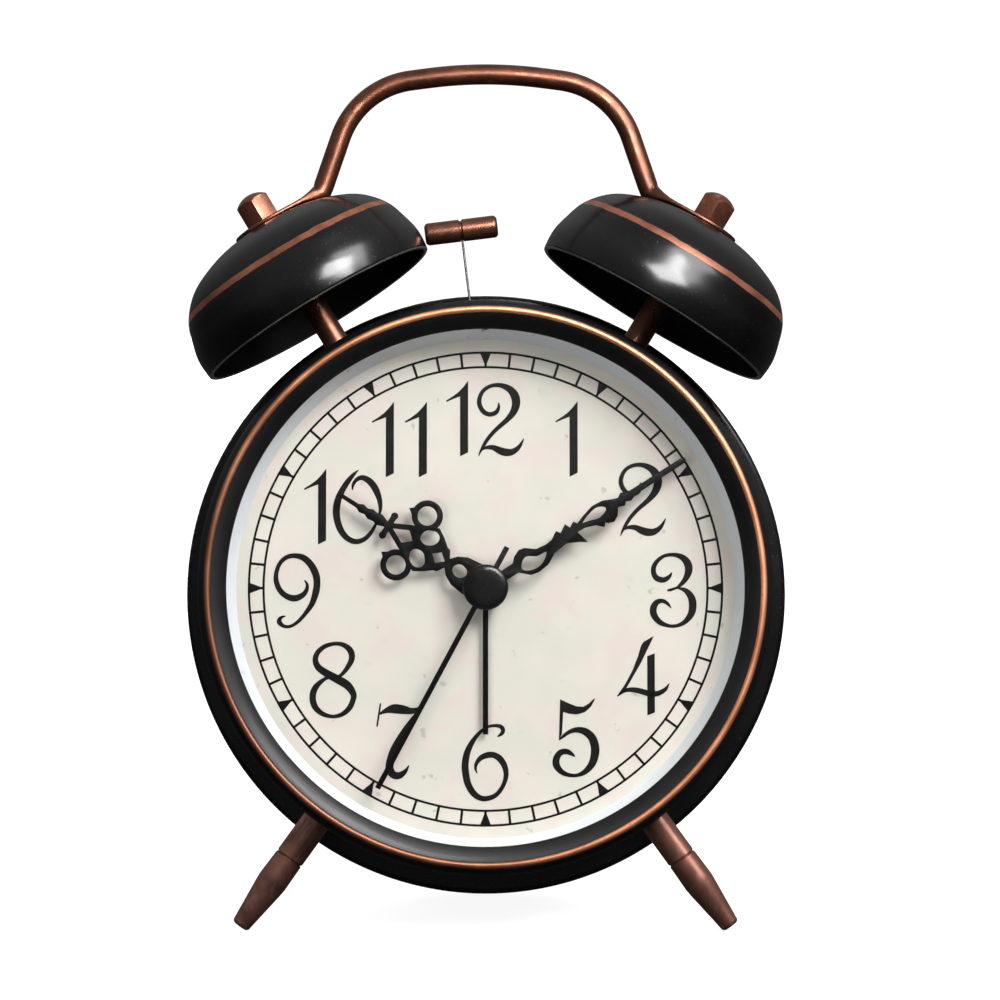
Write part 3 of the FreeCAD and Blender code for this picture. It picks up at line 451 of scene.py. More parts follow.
# ---------------------------------------------------------------- dial
# Card disc printed with an aged cream ground: faint rosy and greenish clouds, brown specks and a
# few scuffs. A steel plate stiffens it from behind.
def aged_card(wire):
    clouds = wire.noise(9, 3, 0.5)
    rosy = wire.node("Mapping", {"Vector": wire.position(), "Location": (0.4, 0.2, 0.7)})
    blush = wire.noise(8, 3, 0.5, place=rosy)
    fibre = wire.noise(0.35, 5, 0.7)
    specks = wire.noise(2.3, 2, 0.45).between(0.70, 0.76)
    smudge = wire.noise(4.5, 2, 0.5, stretch=(1, 1, 2.2)).between(0.66, 0.78)
    ground = clouds.between(0.32, 0.68).blend((0.79, 0.728, 0.655), (0.72, 0.705, 0.625))
    tinted = (blush.between(0.46, 0.66) * 0.9).blend(ground, (0.78, 0.675, 0.63))
    grained = (fibre.between(0.4, 0.7) * 0.10).blend(tinted, (0.66, 0.62, 0.56))
    spotted = (specks * 0.42).blend(grained, (0.34, 0.30, 0.26))
    colour = (smudge * 0.13).blend(spotted, (0.42, 0.40, 0.36))
    return wire.surface(colour, fibre.between(0.3, 0.7, 0.62, 0.72), fibre.bump(0.06, 0.02),
                        specular=0.3)


def zinc_steel(wire):
    """Zinc-plated steel: soft spangle, fine scratches and dull patches."""
    spangle = wire.noise(1.6, 3)
    scratch = wire.noise(0.25, 3, 0.6, stretch=(1, 8, 1))
    colour = spangle.between(0.35, 0.65).blend((0.42, 0.43, 0.44), (0.56, 0.57, 0.58))
    worn = (wire.noise(5, 4).between(0.58, 0.7) * 0.5).blend(colour, (0.28, 0.27, 0.25))
    return wire.surface(worn, spangle.between(0.3, 0.7, 0.28, 0.42), scratch.bump(0.06, 0.02),
                        metal=0.9)


steel = finish("zinc_steel", zinc_steel)
dressed("dial", finish("aged_card", aged_card))
dressed("dial_plate", steel)


# ---------------------------------------------------------------- minute track
# The track is printed on the dial: two fine circles, a bar at every minute and a wedge at every
# hour. One tree draws it, a few hundredths of a millimetre proud of the card, as a layer of ink.
DIAL_FRONT = 10.5
INK = 0.04
INK_SUNK = 0.005
TRACK_OUTER = 48.4
TRACK_INNER = 45.4
TRACK_LINE = 0.46
TRACK_BAR = 0.52
WEDGE_BASE = 2.3


def printers_ink(wire):
    """Warm black ink, a little uneven where the card took it less."""
    uneven = wire.noise(2.5, 4)
    colour = uneven.between(0.35, 0.7).blend((0.004, 0.004, 0.0035), (0.009, 0.0085, 0.008))
    return wire.surface(colour, uneven.between(0.3, 0.7, 0.5, 0.65),
                        wire.noise(0.4, 3).bump(0.05, 0.02), specular=0.08)


ink = finish("printers_ink", printers_ink)


def track_tree():
    """Geometry tree for a minute track lying across Y."""
    tree = bpy.data.node_groups.new("minute_track", "GeometryNodeTree")
    tree.interface.new_socket("Geometry", in_out="OUTPUT", socket_type="NodeSocketGeometry")
    sizes = {}
    for label, kind in (("Outer Radius", "NodeSocketFloat"), ("Inner Radius", "NodeSocketFloat"),
                        ("Line Width", "NodeSocketFloat"), ("Bar Width", "NodeSocketFloat"),
                        ("Wedge Base", "NodeSocketFloat"), ("Ink Thickness", "NodeSocketFloat"),
                        ("Minutes", "NodeSocketInt"), ("Hours", "NodeSocketInt")):
        sizes[label] = tree.interface.new_socket(label, in_out="INPUT", socket_type=kind)
    given = tree.nodes.new("NodeGroupInput").outputs

    def add(kind, sockets=(), out=0, **settings):
        node = tree.nodes.new(kind)
        for key, value in settings.items():
            setattr(node, key, value)
        for key, value in dict(sockets).items():
            if isinstance(value, bpy.types.NodeSocket):
                tree.links.new(value, node.inputs[key])
            else:
                node.inputs[key].default_value = value
        return node.outputs[out]

    def maths(operation, first, second=0.0):
        return add("ShaderNodeMath", {0: first, 1: second}, operation=operation)

    def circle(radius):
        line = add("GeometryNodeCurvePrimitiveCircle", {"Resolution": 240, "Radius": radius})
        section = add("GeometryNodeCurvePrimitiveQuadrilateral",
                      {"Width": given["Line Width"], "Height": given["Ink Thickness"]})
        swept = add("GeometryNodeCurveToMesh", {"Curve": line, "Profile Curve": section})
        return add("GeometryNodeTransform", {"Geometry": swept,
                                             "Rotation": (math.radians(90), 0, 0)})

    def round_the_dial(count, radius, shape):
        step = maths("DIVIDE", math.tau, count)
        angle = maths("MULTIPLY", add("GeometryNodeInputIndex"), step)
        spot = add("ShaderNodeCombineXYZ", {
            "X": maths("MULTIPLY", maths("SINE", angle), radius),
            "Z": maths("MULTIPLY", maths("COSINE", angle), radius)})
        points = add("GeometryNodePoints", {"Count": count, "Position": spot})
        turn = add("ShaderNodeCombineXYZ", {"Y": angle})
        return add("GeometryNodeInstanceOnPoints", {"Points": points, "Instance": shape,
                                                    "Rotation": turn})

    middle = maths("MULTIPLY", maths("ADD", given["Outer Radius"], given["Inner Radius"]), 0.5)
    width = maths("SUBTRACT", given["Outer Radius"], given["Inner Radius"])
    bar_size = add("ShaderNodeCombineXYZ", {"X": given["Bar Width"], "Y": given["Ink Thickness"],
                                            "Z": width})
    bar = add("GeometryNodeMeshCube", {"Size": bar_size})
    bars = round_the_dial(given["Minutes"], middle, bar)
    prism = add("GeometryNodeMeshCylinder", {"Vertices": 3, "Radius": 1.0, "Depth": 1.0})
    upright = add("GeometryNodeTransform", {"Geometry": prism,
                                            "Rotation": (math.radians(90), math.radians(90), 0)})
    wedge_size = add("ShaderNodeCombineXYZ",
                     {"X": maths("DIVIDE", given["Wedge Base"], math.sqrt(3)),
                      "Y": given["Ink Thickness"], "Z": maths("DIVIDE", width, 1.5)})
    wedge = add("GeometryNodeTransform", {"Geometry": upright, "Scale": wedge_size})
    wedge_radius = maths("SUBTRACT", given["Outer Radius"], maths("DIVIDE", width, 3.0))
    wedges = round_the_dial(given["Hours"], wedge_radius, wedge)
    joined = tree.nodes.new("GeometryNodeJoinGeometry")
    for shape in (wedges, bars, circle(given["Inner Radius"]), circle(given["Outer Radius"])):
        tree.links.new(shape, joined.inputs[0])
    real = add("GeometryNodeRealizeInstances", {"Geometry": joined.outputs[0]})
    inked = add("GeometryNodeSetMaterial", {"Geometry": real, "Material": ink})
    tree.links.new(inked, tree.nodes.new("NodeGroupOutput").inputs[0])
    return tree, {label: socket.identifier for label, socket in sizes.items()}


def drawn_by(tree, identifiers, values, name):
    """The mesh that a geometry tree draws with these input values."""
    maker = bpy.data.objects.new(name, bpy.data.meshes.new(name))
    drawing = maker.modifiers.new("drawing", "NODES")
    drawing.node_group = tree
    for label, value in values.items():
        drawing[identifiers[label]] = value
    mesh = as_plain_mesh(maker)
    bpy.data.objects.remove(maker)
    return mesh


track = drawn_by(*track_tree(), {"Outer Radius": TRACK_OUTER, "Inner Radius": TRACK_INNER,
                                 "Line Width": TRACK_LINE, "Bar Width": TRACK_BAR,
                                 "Wedge Base": WEDGE_BASE, "Ink Thickness": INK,
                                 "Minutes": 60, "Hours": 12}, "minute_track_drawing")
track.transform(CLOCK @ Matrix.Translation((0, DIAL_FRONT + INK_SUNK - INK / 2, 0)))


def printed(piece):
    """Gives a printed layer its body."""
    on_scene.link(piece)
    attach(piece, "case")


printed(bpy.data.objects.new("minute_track", track))

# ---------------------------------------------------------------- numerals
# Old-style numerals in the same ink, all upright. Each is drawn as a broad pen draws it: strokes
# of (across, up, width) that swell and taper, and plates with straight edges, in millimetres.
ONE = [(0.0, 15.6), (0.0, 0.86), (-1.66, 0.0), (-1.66, 12.36), (-3.0, 11.85), (-4.45, 11.2),
       (-4.57, 11.5), (-3.2, 12.35), (-2.0, 13.25), (-1.0, 14.3)]
TWO = [[(-0.38, 11.09, 0.26), (-0.38, 10.06, 0.64), (-0.93, 9.07, 0.93), (-2.24, 8.66, 0.96),
        (-3.48, 9.23, 0.99), (-4.28, 10.61, 0.96), (-4.28, 12.04, 0.89), (-3.48, 13.58, 0.8),
        (-1.98, 14.5, 0.8), (-0.06, 14.66, 0.96), (1.79, 13.9, 1.41), (2.88, 12.62, 1.76),
        (3.19, 10.93, 1.73), (2.65, 9.17, 1.44), (1.21, 7.41, 1.05), (-0.86, 5.59, 0.86),
        (-2.46, 3.8, 0.8), (-3.42, 2.3, 0.7), (-4.09, 1.02, 0.45), (-4.5, 0.03, 0.13)],
       [(-3.71, 1.34, 0.19), (-2.88, 1.82, 0.7), (-1.5, 1.82, 1.09), (-0.22, 1.25, 1.47),
        (1.05, 0.86, 1.6), (2.33, 0.93, 1.34), (3.51, 1.66, 0.96), (4.28, 2.68, 0.58),
        (4.76, 3.67, 0.19)]]
THREE = [[(-0.26, 11.23, 0.2), (-0.83, 10.33, 0.79), (-1.99, 9.67, 1.13), (-3.31, 10.0, 1.19),
          (-3.97, 10.99, 1.06), (-3.97, 12.32, 0.99), (-3.15, 13.64, 0.86), (-1.66, 14.64, 0.73),
          (0.33, 14.8, 0.86), (1.99, 14.21, 1.26), (2.98, 12.98, 1.59), (3.15, 11.49, 1.52),
          (2.48, 9.83, 1.13), (1.49, 8.68, 0.79), (0.66, 8.01, 0.46)],
         [(-1.23, 7.52, 0.4), (-0.5, 7.65, 0.6), (0.4, 7.95, 0.53), (1.16, 8.11, 0.46)],
         [(0.83, 8.05, 0.26), (2.48, 7.52, 0.99), (3.64, 6.19, 1.46), (3.97, 4.54, 1.59),
          (3.64, 2.72, 1.39), (2.32, 1.06, 0.99), (0.66, 0.3, 0.73), (-0.99, 0.3, 0.73),
          (-2.81, 1.06, 1.13), (-3.97, 2.55, 1.39), (-4.04, 4.04, 1.39), (-3.31, 5.13, 1.13),
          (-2.15, 5.36, 0.86), (-1.16, 4.8, 0.66), (-0.4, 3.87, 0.17)]]
FOUR_PLATES = [[(2.22, 16.23), (0.07, 15.0), (-0.43, 14.21), (-1.06, 12.09), (-2.15, 9.27),
                (-3.64, 6.46), (-5.36, 3.97), (-5.26, 3.81), (-3.54, 5.36), (-2.09, 7.85),
                (-0.5, 10.6), (1.16, 14.01)],
               [(0.83, 12.09), (2.38, 12.68), (2.38, 0.6), (0.83, 0.0)]]
FOUR = [[(-5.26, 3.87, 0.13), (-3.64, 5.07, 0.73), (-1.82, 5.2, 1.06), (0.17, 4.74, 1.19),
         (1.66, 4.34, 1.19), (3.15, 4.54, 1.06), (4.47, 5.3, 0.79), (5.33, 6.52, 0.17)]]
FIVE_PLATES = [[(-3.42, 7.46), (-3.17, 15.89), (-1.54, 15.14), (0.19, 14.45), (1.6, 14.39),
                (2.7, 15.05), (3.79, 16.08), (3.95, 15.89), (3.17, 14.42), (1.91, 13.26),
                (0.19, 12.76), (-1.38, 12.95), (-2.54, 13.32), (-2.79, 8.78)]]
FIVE = [[(-3.35, 7.55, 0.16), (-2.57, 8.31, 0.63), (-1.38, 9.18, 0.82), (0.19, 9.66, 1.13),
         (1.91, 9.31, 1.5), (3.32, 8.06, 1.69), (3.95, 6.11, 1.76), (3.82, 4.23, 1.69),
         (3.17, 2.51, 1.44), (1.76, 1.03, 1.07), (0.19, 0.41, 0.75), (-1.38, 0.47, 0.82),
         (-2.95, 1.16, 1.13), (-3.95, 2.51, 1.44), (-3.89, 3.92, 1.38), (-3.1, 5.02, 1.25),
         (-1.85, 5.24, 1.13), (-0.75, 4.7, 0.75), (-0.13, 4.17, 0.19)]]
SIX = [[(2.54, 13.17, 0.25), (3.42, 13.79, 0.75), (3.67, 14.64, 0.88), (3.1, 15.27, 0.82),
        (1.85, 15.42, 0.63), (0.28, 15.05, 0.56), (-1.29, 13.79, 0.75), (-2.7, 11.91, 1.07),
        (-3.64, 9.87, 1.32), (-4.04, 7.68, 1.44), (-3.95, 5.8, 1.44), (-3.48, 3.61, 1.38),
        (-2.38, 1.72, 1.32), (-0.97, 0.72, 1.13), (0.44, 0.6, 1.07), (2.16, 1.25, 0.94),
        (3.57, 2.98, 0.88), (4.29, 5.17, 1.0), (4.04, 7.05, 1.19), (3.1, 8.62, 1.32),
        (1.85, 9.4, 1.25), (0.6, 9.44, 1.25), (-0.82, 8.87, 1.07), (-1.76, 7.68, 0.75),
        (-1.91, 6.58, 0.5), (-1.6, 5.71, 0.19)]]
SEVEN = [[(-3.73, 15.67, 0.31), (-4.08, 13.29, 0.38), (-4.45, 10.91, 0.31)],
         [(-3.95, 13.48, 0.38), (-2.57, 14.17, 1.07), (-1.0, 14.55, 1.88), (0.88, 14.36, 1.82),
          (2.45, 14.11, 1.32), (3.7, 14.36, 0.94), (4.48, 14.89, 0.5), (4.83, 15.42, 0.13)],
         [(4.33, 14.58, 0.44), (3.39, 12.85, 1.25), (1.82, 10.5, 1.69), (0.41, 8.31, 1.82),
          (-0.85, 6.11, 1.82), (-1.63, 4.08, 1.69), (-1.85, 2.51, 1.63), (-1.22, 1.25, 1.57),
          (0.0, 0.94, 1.44), (1.25, 1.72, 0.94), (2.13, 3.07, 0.16)]]
EIGHT = [[(1.28, 8.56, 0.67), (2.79, 10.07, 0.94), (3.86, 12.08, 1.21), (3.62, 13.76, 1.28),
          (2.28, 14.93, 1.01), (0.44, 15.23, 0.81), (-1.58, 14.7, 0.94), (-3.09, 13.42, 1.07),
          (-3.56, 11.91, 1.14), (-2.92, 10.4, 1.34), (-1.24, 9.16, 1.54), (0.94, 7.99, 1.68),
          (2.95, 6.78, 1.68), (4.13, 5.2, 1.34), (4.23, 4.03, 1.14), (3.46, 2.18, 1.14),
          (1.95, 0.84, 0.94), (0.0, 0.37, 0.77), (-2.08, 0.94, 1.01), (-3.59, 2.35, 1.28),
          (-4.09, 4.19, 1.34), (-3.66, 6.04, 1.28), (-2.42, 7.45, 0.94), (-0.91, 8.32, 0.67),
          (1.28, 8.56, 0.67)]]
NINE = [[(1.51, 9.9, 0.27), (2.01, 8.99, 0.6), (1.85, 7.82, 0.87), (1.01, 6.81, 1.14),
         (-0.5, 6.21, 1.34), (-2.18, 6.64, 1.21), (-3.52, 7.82, 1.14), (-4.26, 9.5, 1.07),
         (-4.33, 11.17, 0.94), (-3.69, 13.19, 0.87), (-2.35, 14.53, 0.94), (-0.67, 14.93, 1.01),
         (1.17, 14.53, 1.28), (2.68, 13.19, 1.41), (3.69, 11.34, 1.48), (4.03, 9.5, 1.41),
         (3.79, 7.48, 1.41), (3.02, 5.13, 1.14), (1.68, 3.12, 0.87), (0.17, 1.44, 0.74),
         (-1.34, 0.5, 0.67), (-2.68, 0.5, 0.74), (-3.62, 1.28, 1.01), (-3.52, 2.05, 0.81),
         (-2.92, 2.45, 0.47), (-2.35, 2.55, 0.2)]]
ZERO = [[(0.19, 15.34, 0.13), (-0.77, 14.47, 0.7), (-2.04, 12.94, 1.09), (-3.32, 10.86, 1.28),
         (-4.03, 9.11, 1.41), (-4.35, 7.19, 1.47), (-4.22, 5.27, 1.41), (-3.55, 3.19, 1.34),
         (-2.43, 1.6, 1.21), (-1.18, 0.8, 1.15), (0.1, 0.64, 1.05), (1.47, 1.18, 0.96),
         (2.68, 2.4, 0.83), (3.55, 3.83, 0.64), (4.12, 5.27, 0.51), (4.54, 6.55, 0.58),
         (4.66, 7.83, 0.83), (4.38, 9.58, 1.15), (3.55, 11.6, 1.41), (2.43, 13.0, 1.34),
         (0.99, 13.74, 1.09), (-0.22, 13.32, 0.83), (-0.93, 12.3, 0.64), (-1.09, 11.18, 0.26)]]
# Each figure: shift across, strokes, plates.
NUMERALS = {
    12: ((-0.2, 34.8), [(3.26, TWO, []), (-3.38, [], [ONE])]),
    1: ((16.6, 30.6), [(2.28, [], [ONE])]),
    2: ((32.1, 18.4), [(0.0, TWO, [])]),
    3: ((38.4, -0.2), [(0.0, THREE, [])]),
    4: ((32.2, -18.2), [(0.0, FOUR, FOUR_PLATES)]),
    5: ((18.4, -30.8), [(0.0, FIVE, FIVE_PLATES)]),
    6: ((-0.1, -35.7), [(0.0, SIX, [])]),
    7: ((-17.7, -31.4), [(0.0, SEVEN, [])]),
    8: ((-31.2, -18.8), [(0.0, EIGHT, [])]),
    9: ((-38.5, -0.5), [(0.0, NINE, [])]),
    10: ((-29.2, 16.7), [(3.0, ZERO, []), (-3.45, [], [ONE])]),
    11: ((-17.7, 30.5), [(5.68, [], [ONE]), (-1.1, [], [ONE])]),
}
NUMERAL_HALF = 7.8
PEN_STEPS = 7
SAME_PLACE = 1e-6


def through(knots, steps):
    """Smooth points from the second knot to the last but one; the end knots only steer."""
    line = []
    for a, b, c, d in zip(knots, knots[1:], knots[2:], knots[3:]):
        for k in range(steps):
            t = k / steps
            line.append((b * 2 + (c - a) * t + (a * 2 - b * 5 + c * 4 - d) * t ** 2
                         + (b * 3 - a - c * 3 + d) * t ** 3) / 2)
    return line + [knots[-2]]


def along_stroke(stroke):
    """Smooth points through a pen stroke, with the width there."""
    knots = [Vector(p) for p in stroke]
    ends = [knots[0] * 2 - knots[1]] + knots + [knots[-1] * 2 - knots[-2]]
    if (knots[0] - knots[-1]).length < SAME_PLACE:
        ends[0] = knots[-2]
        ends[-1] = knots[1]
    return through(ends, PEN_STEPS)


def inked_outline(outline, points, faces):
    """Adds a closed ink layer with this outline to points and faces."""
    base = len(points)
    count = len(outline)
    for depth in (DIAL_FRONT - INK, DIAL_FRONT + INK_SUNK):
        points.extend((x, depth, z) for x, z in outline)
    faces.append([base + k for k in range(count)])
    faces.append([base + count + k for k in reversed(range(count))])
    faces.extend([base + k, base + (k + 1) % count, base + count + (k + 1) % count,
                  base + count + k] for k in range(count))


def pen_sides(line):
    """The left and right edges of a stroke."""
    left, right = [], []
    for i, here in enumerate(line):
        run = line[min(i + 1, len(line) - 1)] - line[max(i - 1, 0)]
        side = Vector((-run.y, run.x)).normalized() * (here.z / 2)
        left.append((here.x + side.x, here.y + side.y))
        right.append((here.x - side.x, here.y - side.y))
    return left, right


for hour, ((centre_x, centre_z), figures) in NUMERALS.items():
    points, faces = [], []
    for shift, strokes, plates in figures:
        def on_dial(outline):
            return [(x + shift + centre_x, z + centre_z - NUMERAL_HALF) for x, z in outline]

        for plate in plates:
            inked_outline(on_dial(plate), points, faces)
        for stroke in strokes:
            left, right = (on_dial(side) for side in pen_sides(along_stroke(stroke)))
            base = len(points)
            for depth in (DIAL_FRONT - INK, DIAL_FRONT + INK_SUNK):
                points.extend((x, depth, z) for pair in zip(left, right) for x, z in pair)
            half = 2 * len(left)
            for k in range(0, half - 2, 2):
                near = [base + k, base + k + 1, base + k + 3, base + k + 2]
                far = [corner + half for corner in near]
                faces.append(near)
                faces.append(far[::-1])
                faces.append([near[1], near[2], far[2], far[1]])
                faces.append([near[3], near[0], far[0], far[3]])
            for k in (0, half - 2):
                faces.append([base + k, base + k + 1, base + half + k + 1, base + half + k])
    printed(formed(f"numeral_{hour}", points, faces, CLOCK, [ink]))


# ---------------------------------------------------------------- hands
# Hands stamped from steel sheet and enamelled, pressed on the pipes of the movement, with a domed
# cap over the middle. Stamping leaves a slightly rolled edge.
def hand_enamel(rough, shine):
    """Black enamel on stamped sheet, a little rubbed."""
    def build(wire):
        tone = wire.noise(5, 3)
        colour = tone.clouded((0.0020, 0.0018, 0.0018), (0.004, 0.0036, 0.0036))
        rubbed = (wire.noise(0.8, 3).between(0.68, 0.78) * 0.15).blend(colour, (0.05, 0.04, 0.035))
        return wire.surface(rubbed, tone.between(0.3, 0.7, rough - 0.05, rough + 0.05),
                            wire.noise(0.5, 2).bump(0.04, 0.02), specular=shine)
    return build


hand_black = finish("hand_enamel", hand_enamel(0.5, 0.07))
cap_black = finish("cap_enamel", hand_enamel(0.24, 0.25))
STAMPED_EDGE = 0.06
for hand in ("alarm_hand", "hour_hand", "minute_hand", "second_hand"):
    dressed(hand, hand_black, STAMPED_EDGE, 40)

CAP_FRONT = 5.35
CAP_BACK = 6.25
CAP_RADIUS = 4.65
# The cap's front falls away towards its edge by these depths, at these radii.
CAP_DOME = [(0, 0.0), (1.8, 0.01), (3.2, 0.04), (3.75, 0.12), (4.2, 0.27), (4.5, 0.48),
            (CAP_RADIUS, 0.72)]
cap_section = ([(radius, CAP_FRONT + depth) for radius, depth in CAP_DOME]
               + [(CAP_RADIUS, CAP_BACK), (0, CAP_BACK)])
cap_shape = turned(cap_section, 96, closed=False)
settle(formed("centre_cap_finished", *cap_shape, ABOUT_DIAL, [cap_black], 50), "centre_cap")

# ---------------------------------------------------------------- bells
# Two bells spun from steel sheet, enamelled black. A line of antique copper is painted by hand
# round each one, the enamel is thin on the rim, and the inside has one dull coat.
BELL_DEPTH = 19.0
BELL_RADIUS = 26.6
BELL_HEIGHT = 21.2
BELL_SHEET = 0.9
BELL_RIM_OUT = 66.9
BELL_LEAN = 31.1
BELL_STEPS = 168
STUD_RADIUS = 1.5
BAND_HEIGHT = 12.3
BAND_HALF = 0.66
# Shares of the bell's radius and height from rim to crown, and how the line would run on below.
BELL_SHAPE = [(0.989, 0.0), (1.0, 0.195), (0.970, 0.377), (0.910, 0.586), (0.778, 0.777),
              (0.605, 0.895), (0.406, 0.973), (0.17, 1.0)]
BELL_SHAPE_STEPS = 6
BELOW_RIM = Vector((-0.55, -3.8))
RIM_ROUND = 0.22
RIM_RISE = 0.2


def bell_curve(shrink):
    """The bell's section from rim to crown as (radius, height), smooth through its waist."""
    radius, height = BELL_RADIUS - shrink, BELL_HEIGHT - shrink
    knots = [Vector((radius * r, height * h)) for r, h in BELL_SHAPE]
    ends = [knots[0] + BELOW_RIM] + knots + [Vector((-knots[-1].x, height))]
    return [(min(spot.x, radius), min(spot.y, height)) for spot in through(ends, BELL_SHAPE_STEPS)]


def bell_coat(foot, axis):
    """Enamel with the painted line and the thin place at the rim, measured up the bell's axis."""
    def coat(wire):
        up = wire.along(tuple(axis / MM)) - foot.dot(axis) / MM
        wavy = up + (wire.noise(4.5, 3) - 0.5) * 0.55
        away = wire.maths("ABSOLUTE", wavy - BAND_HEIGHT)
        chipped = wire.noise(1.2, 4, 0.65).between(0.20, 0.32)
        band = away.between(BAND_HALF - 0.09, BAND_HALF + 0.07, 1.0, 0.0) * chipped
        worn = up.between(0.08, 0.32, 1.0, 0.0) * wire.noise(2.0, 4).between(0.25, 0.38)
        haze = wire.noise(12, 3)
        dust = wire.noise(0.5, 1, 0.4).between(0.70, 0.76)
        black = haze.clouded((0.0020, 0.0020, 0.0023), (0.0042, 0.0042, 0.0048))
        dusty = (dust * 0.05).blend(black, DUST_GREY)
        copper = wire.noise(5, 4).clouded((0.20, 0.066, 0.035), (0.36, 0.135, 0.078))
        lined = (band * 0.92).blend(dusty, copper)
        colour = worn.blend(lined, (0.42, 0.40, 0.38))
        metal = wire.maths("MAXIMUM", band * 0.45, worn * 0.9)
        roughness = haze.between(0.25, 0.75, 0.20, 0.225) + band * 0.18 + dust * 0.15
        relief = wire.noise(0.9, 2) * 0.25 + band * wire.noise(0.6, 3) * 0.8
        return wire.surface(colour, roughness, relief.bump(0.12, 0.05), metal=metal, specular=0.3,
                            **ENAMEL_COAT)
    return coat


def bell_inside(wire):
    """A single thin coat on raw steel: dull black with spinning marks and brown bloom."""
    marks = wire.noise(0.7, 4, 0.6)
    bloom = wire.noise(6, 4).between(0.5, 0.75)
    colour = (bloom * 0.5).blend((0.004, 0.004, 0.004), (0.012, 0.009, 0.007))
    return wire.surface(colour, marks.between(0.3, 0.7, 0.5, 0.66), marks.bump(0.1, 0.04),
                        specular=0.25)


dull_black = finish("dull_black_coat", bell_inside)
outer = bell_curve(0.0)
inner = bell_curve(BELL_SHEET)
rim = [(outer[0][0] - RIM_ROUND, 0.0), (inner[0][0] + RIM_ROUND, 0.0)]
outer[0] = (outer[0][0], RIM_RISE)
inner[0] = (inner[0][0], RIM_RISE)
bell_section = (outer + [(STUD_RADIUS, BELL_HEIGHT), (STUD_RADIUS, BELL_HEIGHT - BELL_SHEET)]
                + inner[::-1] + rim[::-1])
bell_points, bell_faces = turned(bell_section, BELL_STEPS)
inner_from = (len(outer) + 1) * BELL_STEPS
inner_to = (len(outer) + 1 + len(inner)) * BELL_STEPS


def leaning(side, degrees, depth):
    """Place of a piece built up its own Z that points away from the dial axis."""
    lean = Matrix.Rotation(math.radians(side * degrees), 4, "Y")
    return CLOCK @ Matrix.Translation((0, depth, 0)) @ lean


for side, name in ((-1, "left"), (1, "right")):
    place = leaning(side, BELL_LEAN, BELL_DEPTH)
    foot = place @ Vector((0, 0, BELL_RIM_OUT))
    axis = (place.to_3x3() @ Vector((0, 0, 1))).normalized()
    coat = finish("bell_coat_" + name, bell_coat(foot, axis))
    at_rim = place @ Matrix.Translation((0, 0, BELL_RIM_OUT))
    bell = formed(f"bell_{name}_finished", bell_points, bell_faces, at_rim, [coat, dull_black])
    for number, face in enumerate(bell.data.polygons):
        face.material_index = int(inner_from <= number < inner_to)
    settle(bell, "bell_" + name)


# ---------------------------------------------------------------- bell posts, studs and cap nuts
# Each bell stands on a turned copper-plated post and is held, with the handle's end on top of it,
# by one steel stud, a nut inside the drum and a six-sided cap nut with a domed top.
def antique_copper(dark, mid, light, rough, grain=1.0):
    """Plated copper, browned and rubbed: dark in clouds, bright on edges, finely pitted."""
    def plate(wire):
        clouds = wire.noise(9 * grain, 4, 0.5)
        rubs = wire.noise(2.4 * grain, 4, 0.65, stretch=(1, 1, 0.45))
        edge = wire.node("NewGeometry", out="Pointiness").between(0.53, 0.60)
        brown = clouds.between(0.22, 0.58).blend(dark, mid)
        rubbed = (rubs.between(0.50, 0.70) * 0.30).blend(brown, light)
        colour = (edge * 0.55).blend(rubbed, light)
        pits = wire.noise(0.8, 4, 0.6)
        spots = wire.noise(1.5, 3, 0.5).between(0.68, 0.76)
        spotted = (spots * 0.35).blend(colour, dark)
        roughness = rubs.between(0.35, 0.65, rough + 0.10, rough - 0.04) + spots * 0.12
        return wire.surface(spotted, roughness, pits.bump(0.06, 0.05),
                            metal=clouds.between(0.3, 0.7, 0.72, 0.86))
    return plate


post_copper = finish("antique_copper_post", antique_copper(
    (0.02, 0.008, 0.005), (0.055, 0.022, 0.014), (0.17, 0.068, 0.04), 0.30))
nut_copper = finish("antique_copper_nut", antique_copper(
    (0.075, 0.025, 0.015), (0.20, 0.066, 0.038), (0.50, 0.23, 0.145), 0.27, 0.6))
for name in ("left", "right"):
    dressed("bell_post_" + name, post_copper)
    dressed("cap_nut_" + name, nut_copper, 0.16, 25)
    dressed("bell_stud_" + name, steel)
    dressed("stud_nut_" + name, steel, 0.15)

# ---------------------------------------------------------------- handle
# One bent copper-plated rod. Its ends are hammered flat into round eyes that lie on the bells'
# crowns under the cap nuts, and swell smoothly into the rod at a knee.
HANDLE_ROD = 2.12
HANDLE_STEPS = 40
TAB_HALF_THICK = 0.55
BELL_CROWN_OUT = BELL_RIM_OUT + BELL_HEIGHT
TAB_MIDDLE = BELL_CROWN_OUT + TAB_HALF_THICK
TAB_REACH = 13.6
HANDLE_RISE = 24.7
HANDLE_LEAN_IN = 7.43
HANDLE_BEND = 18.0
HANDLE_CROWN = 7.5
CROWN_SHARE = 0.45
ROUND_SECTION = 2.0
SQUARER_BY = 2.6
FLAT_FROM = 1.15
FLAT_OVER = 1.5
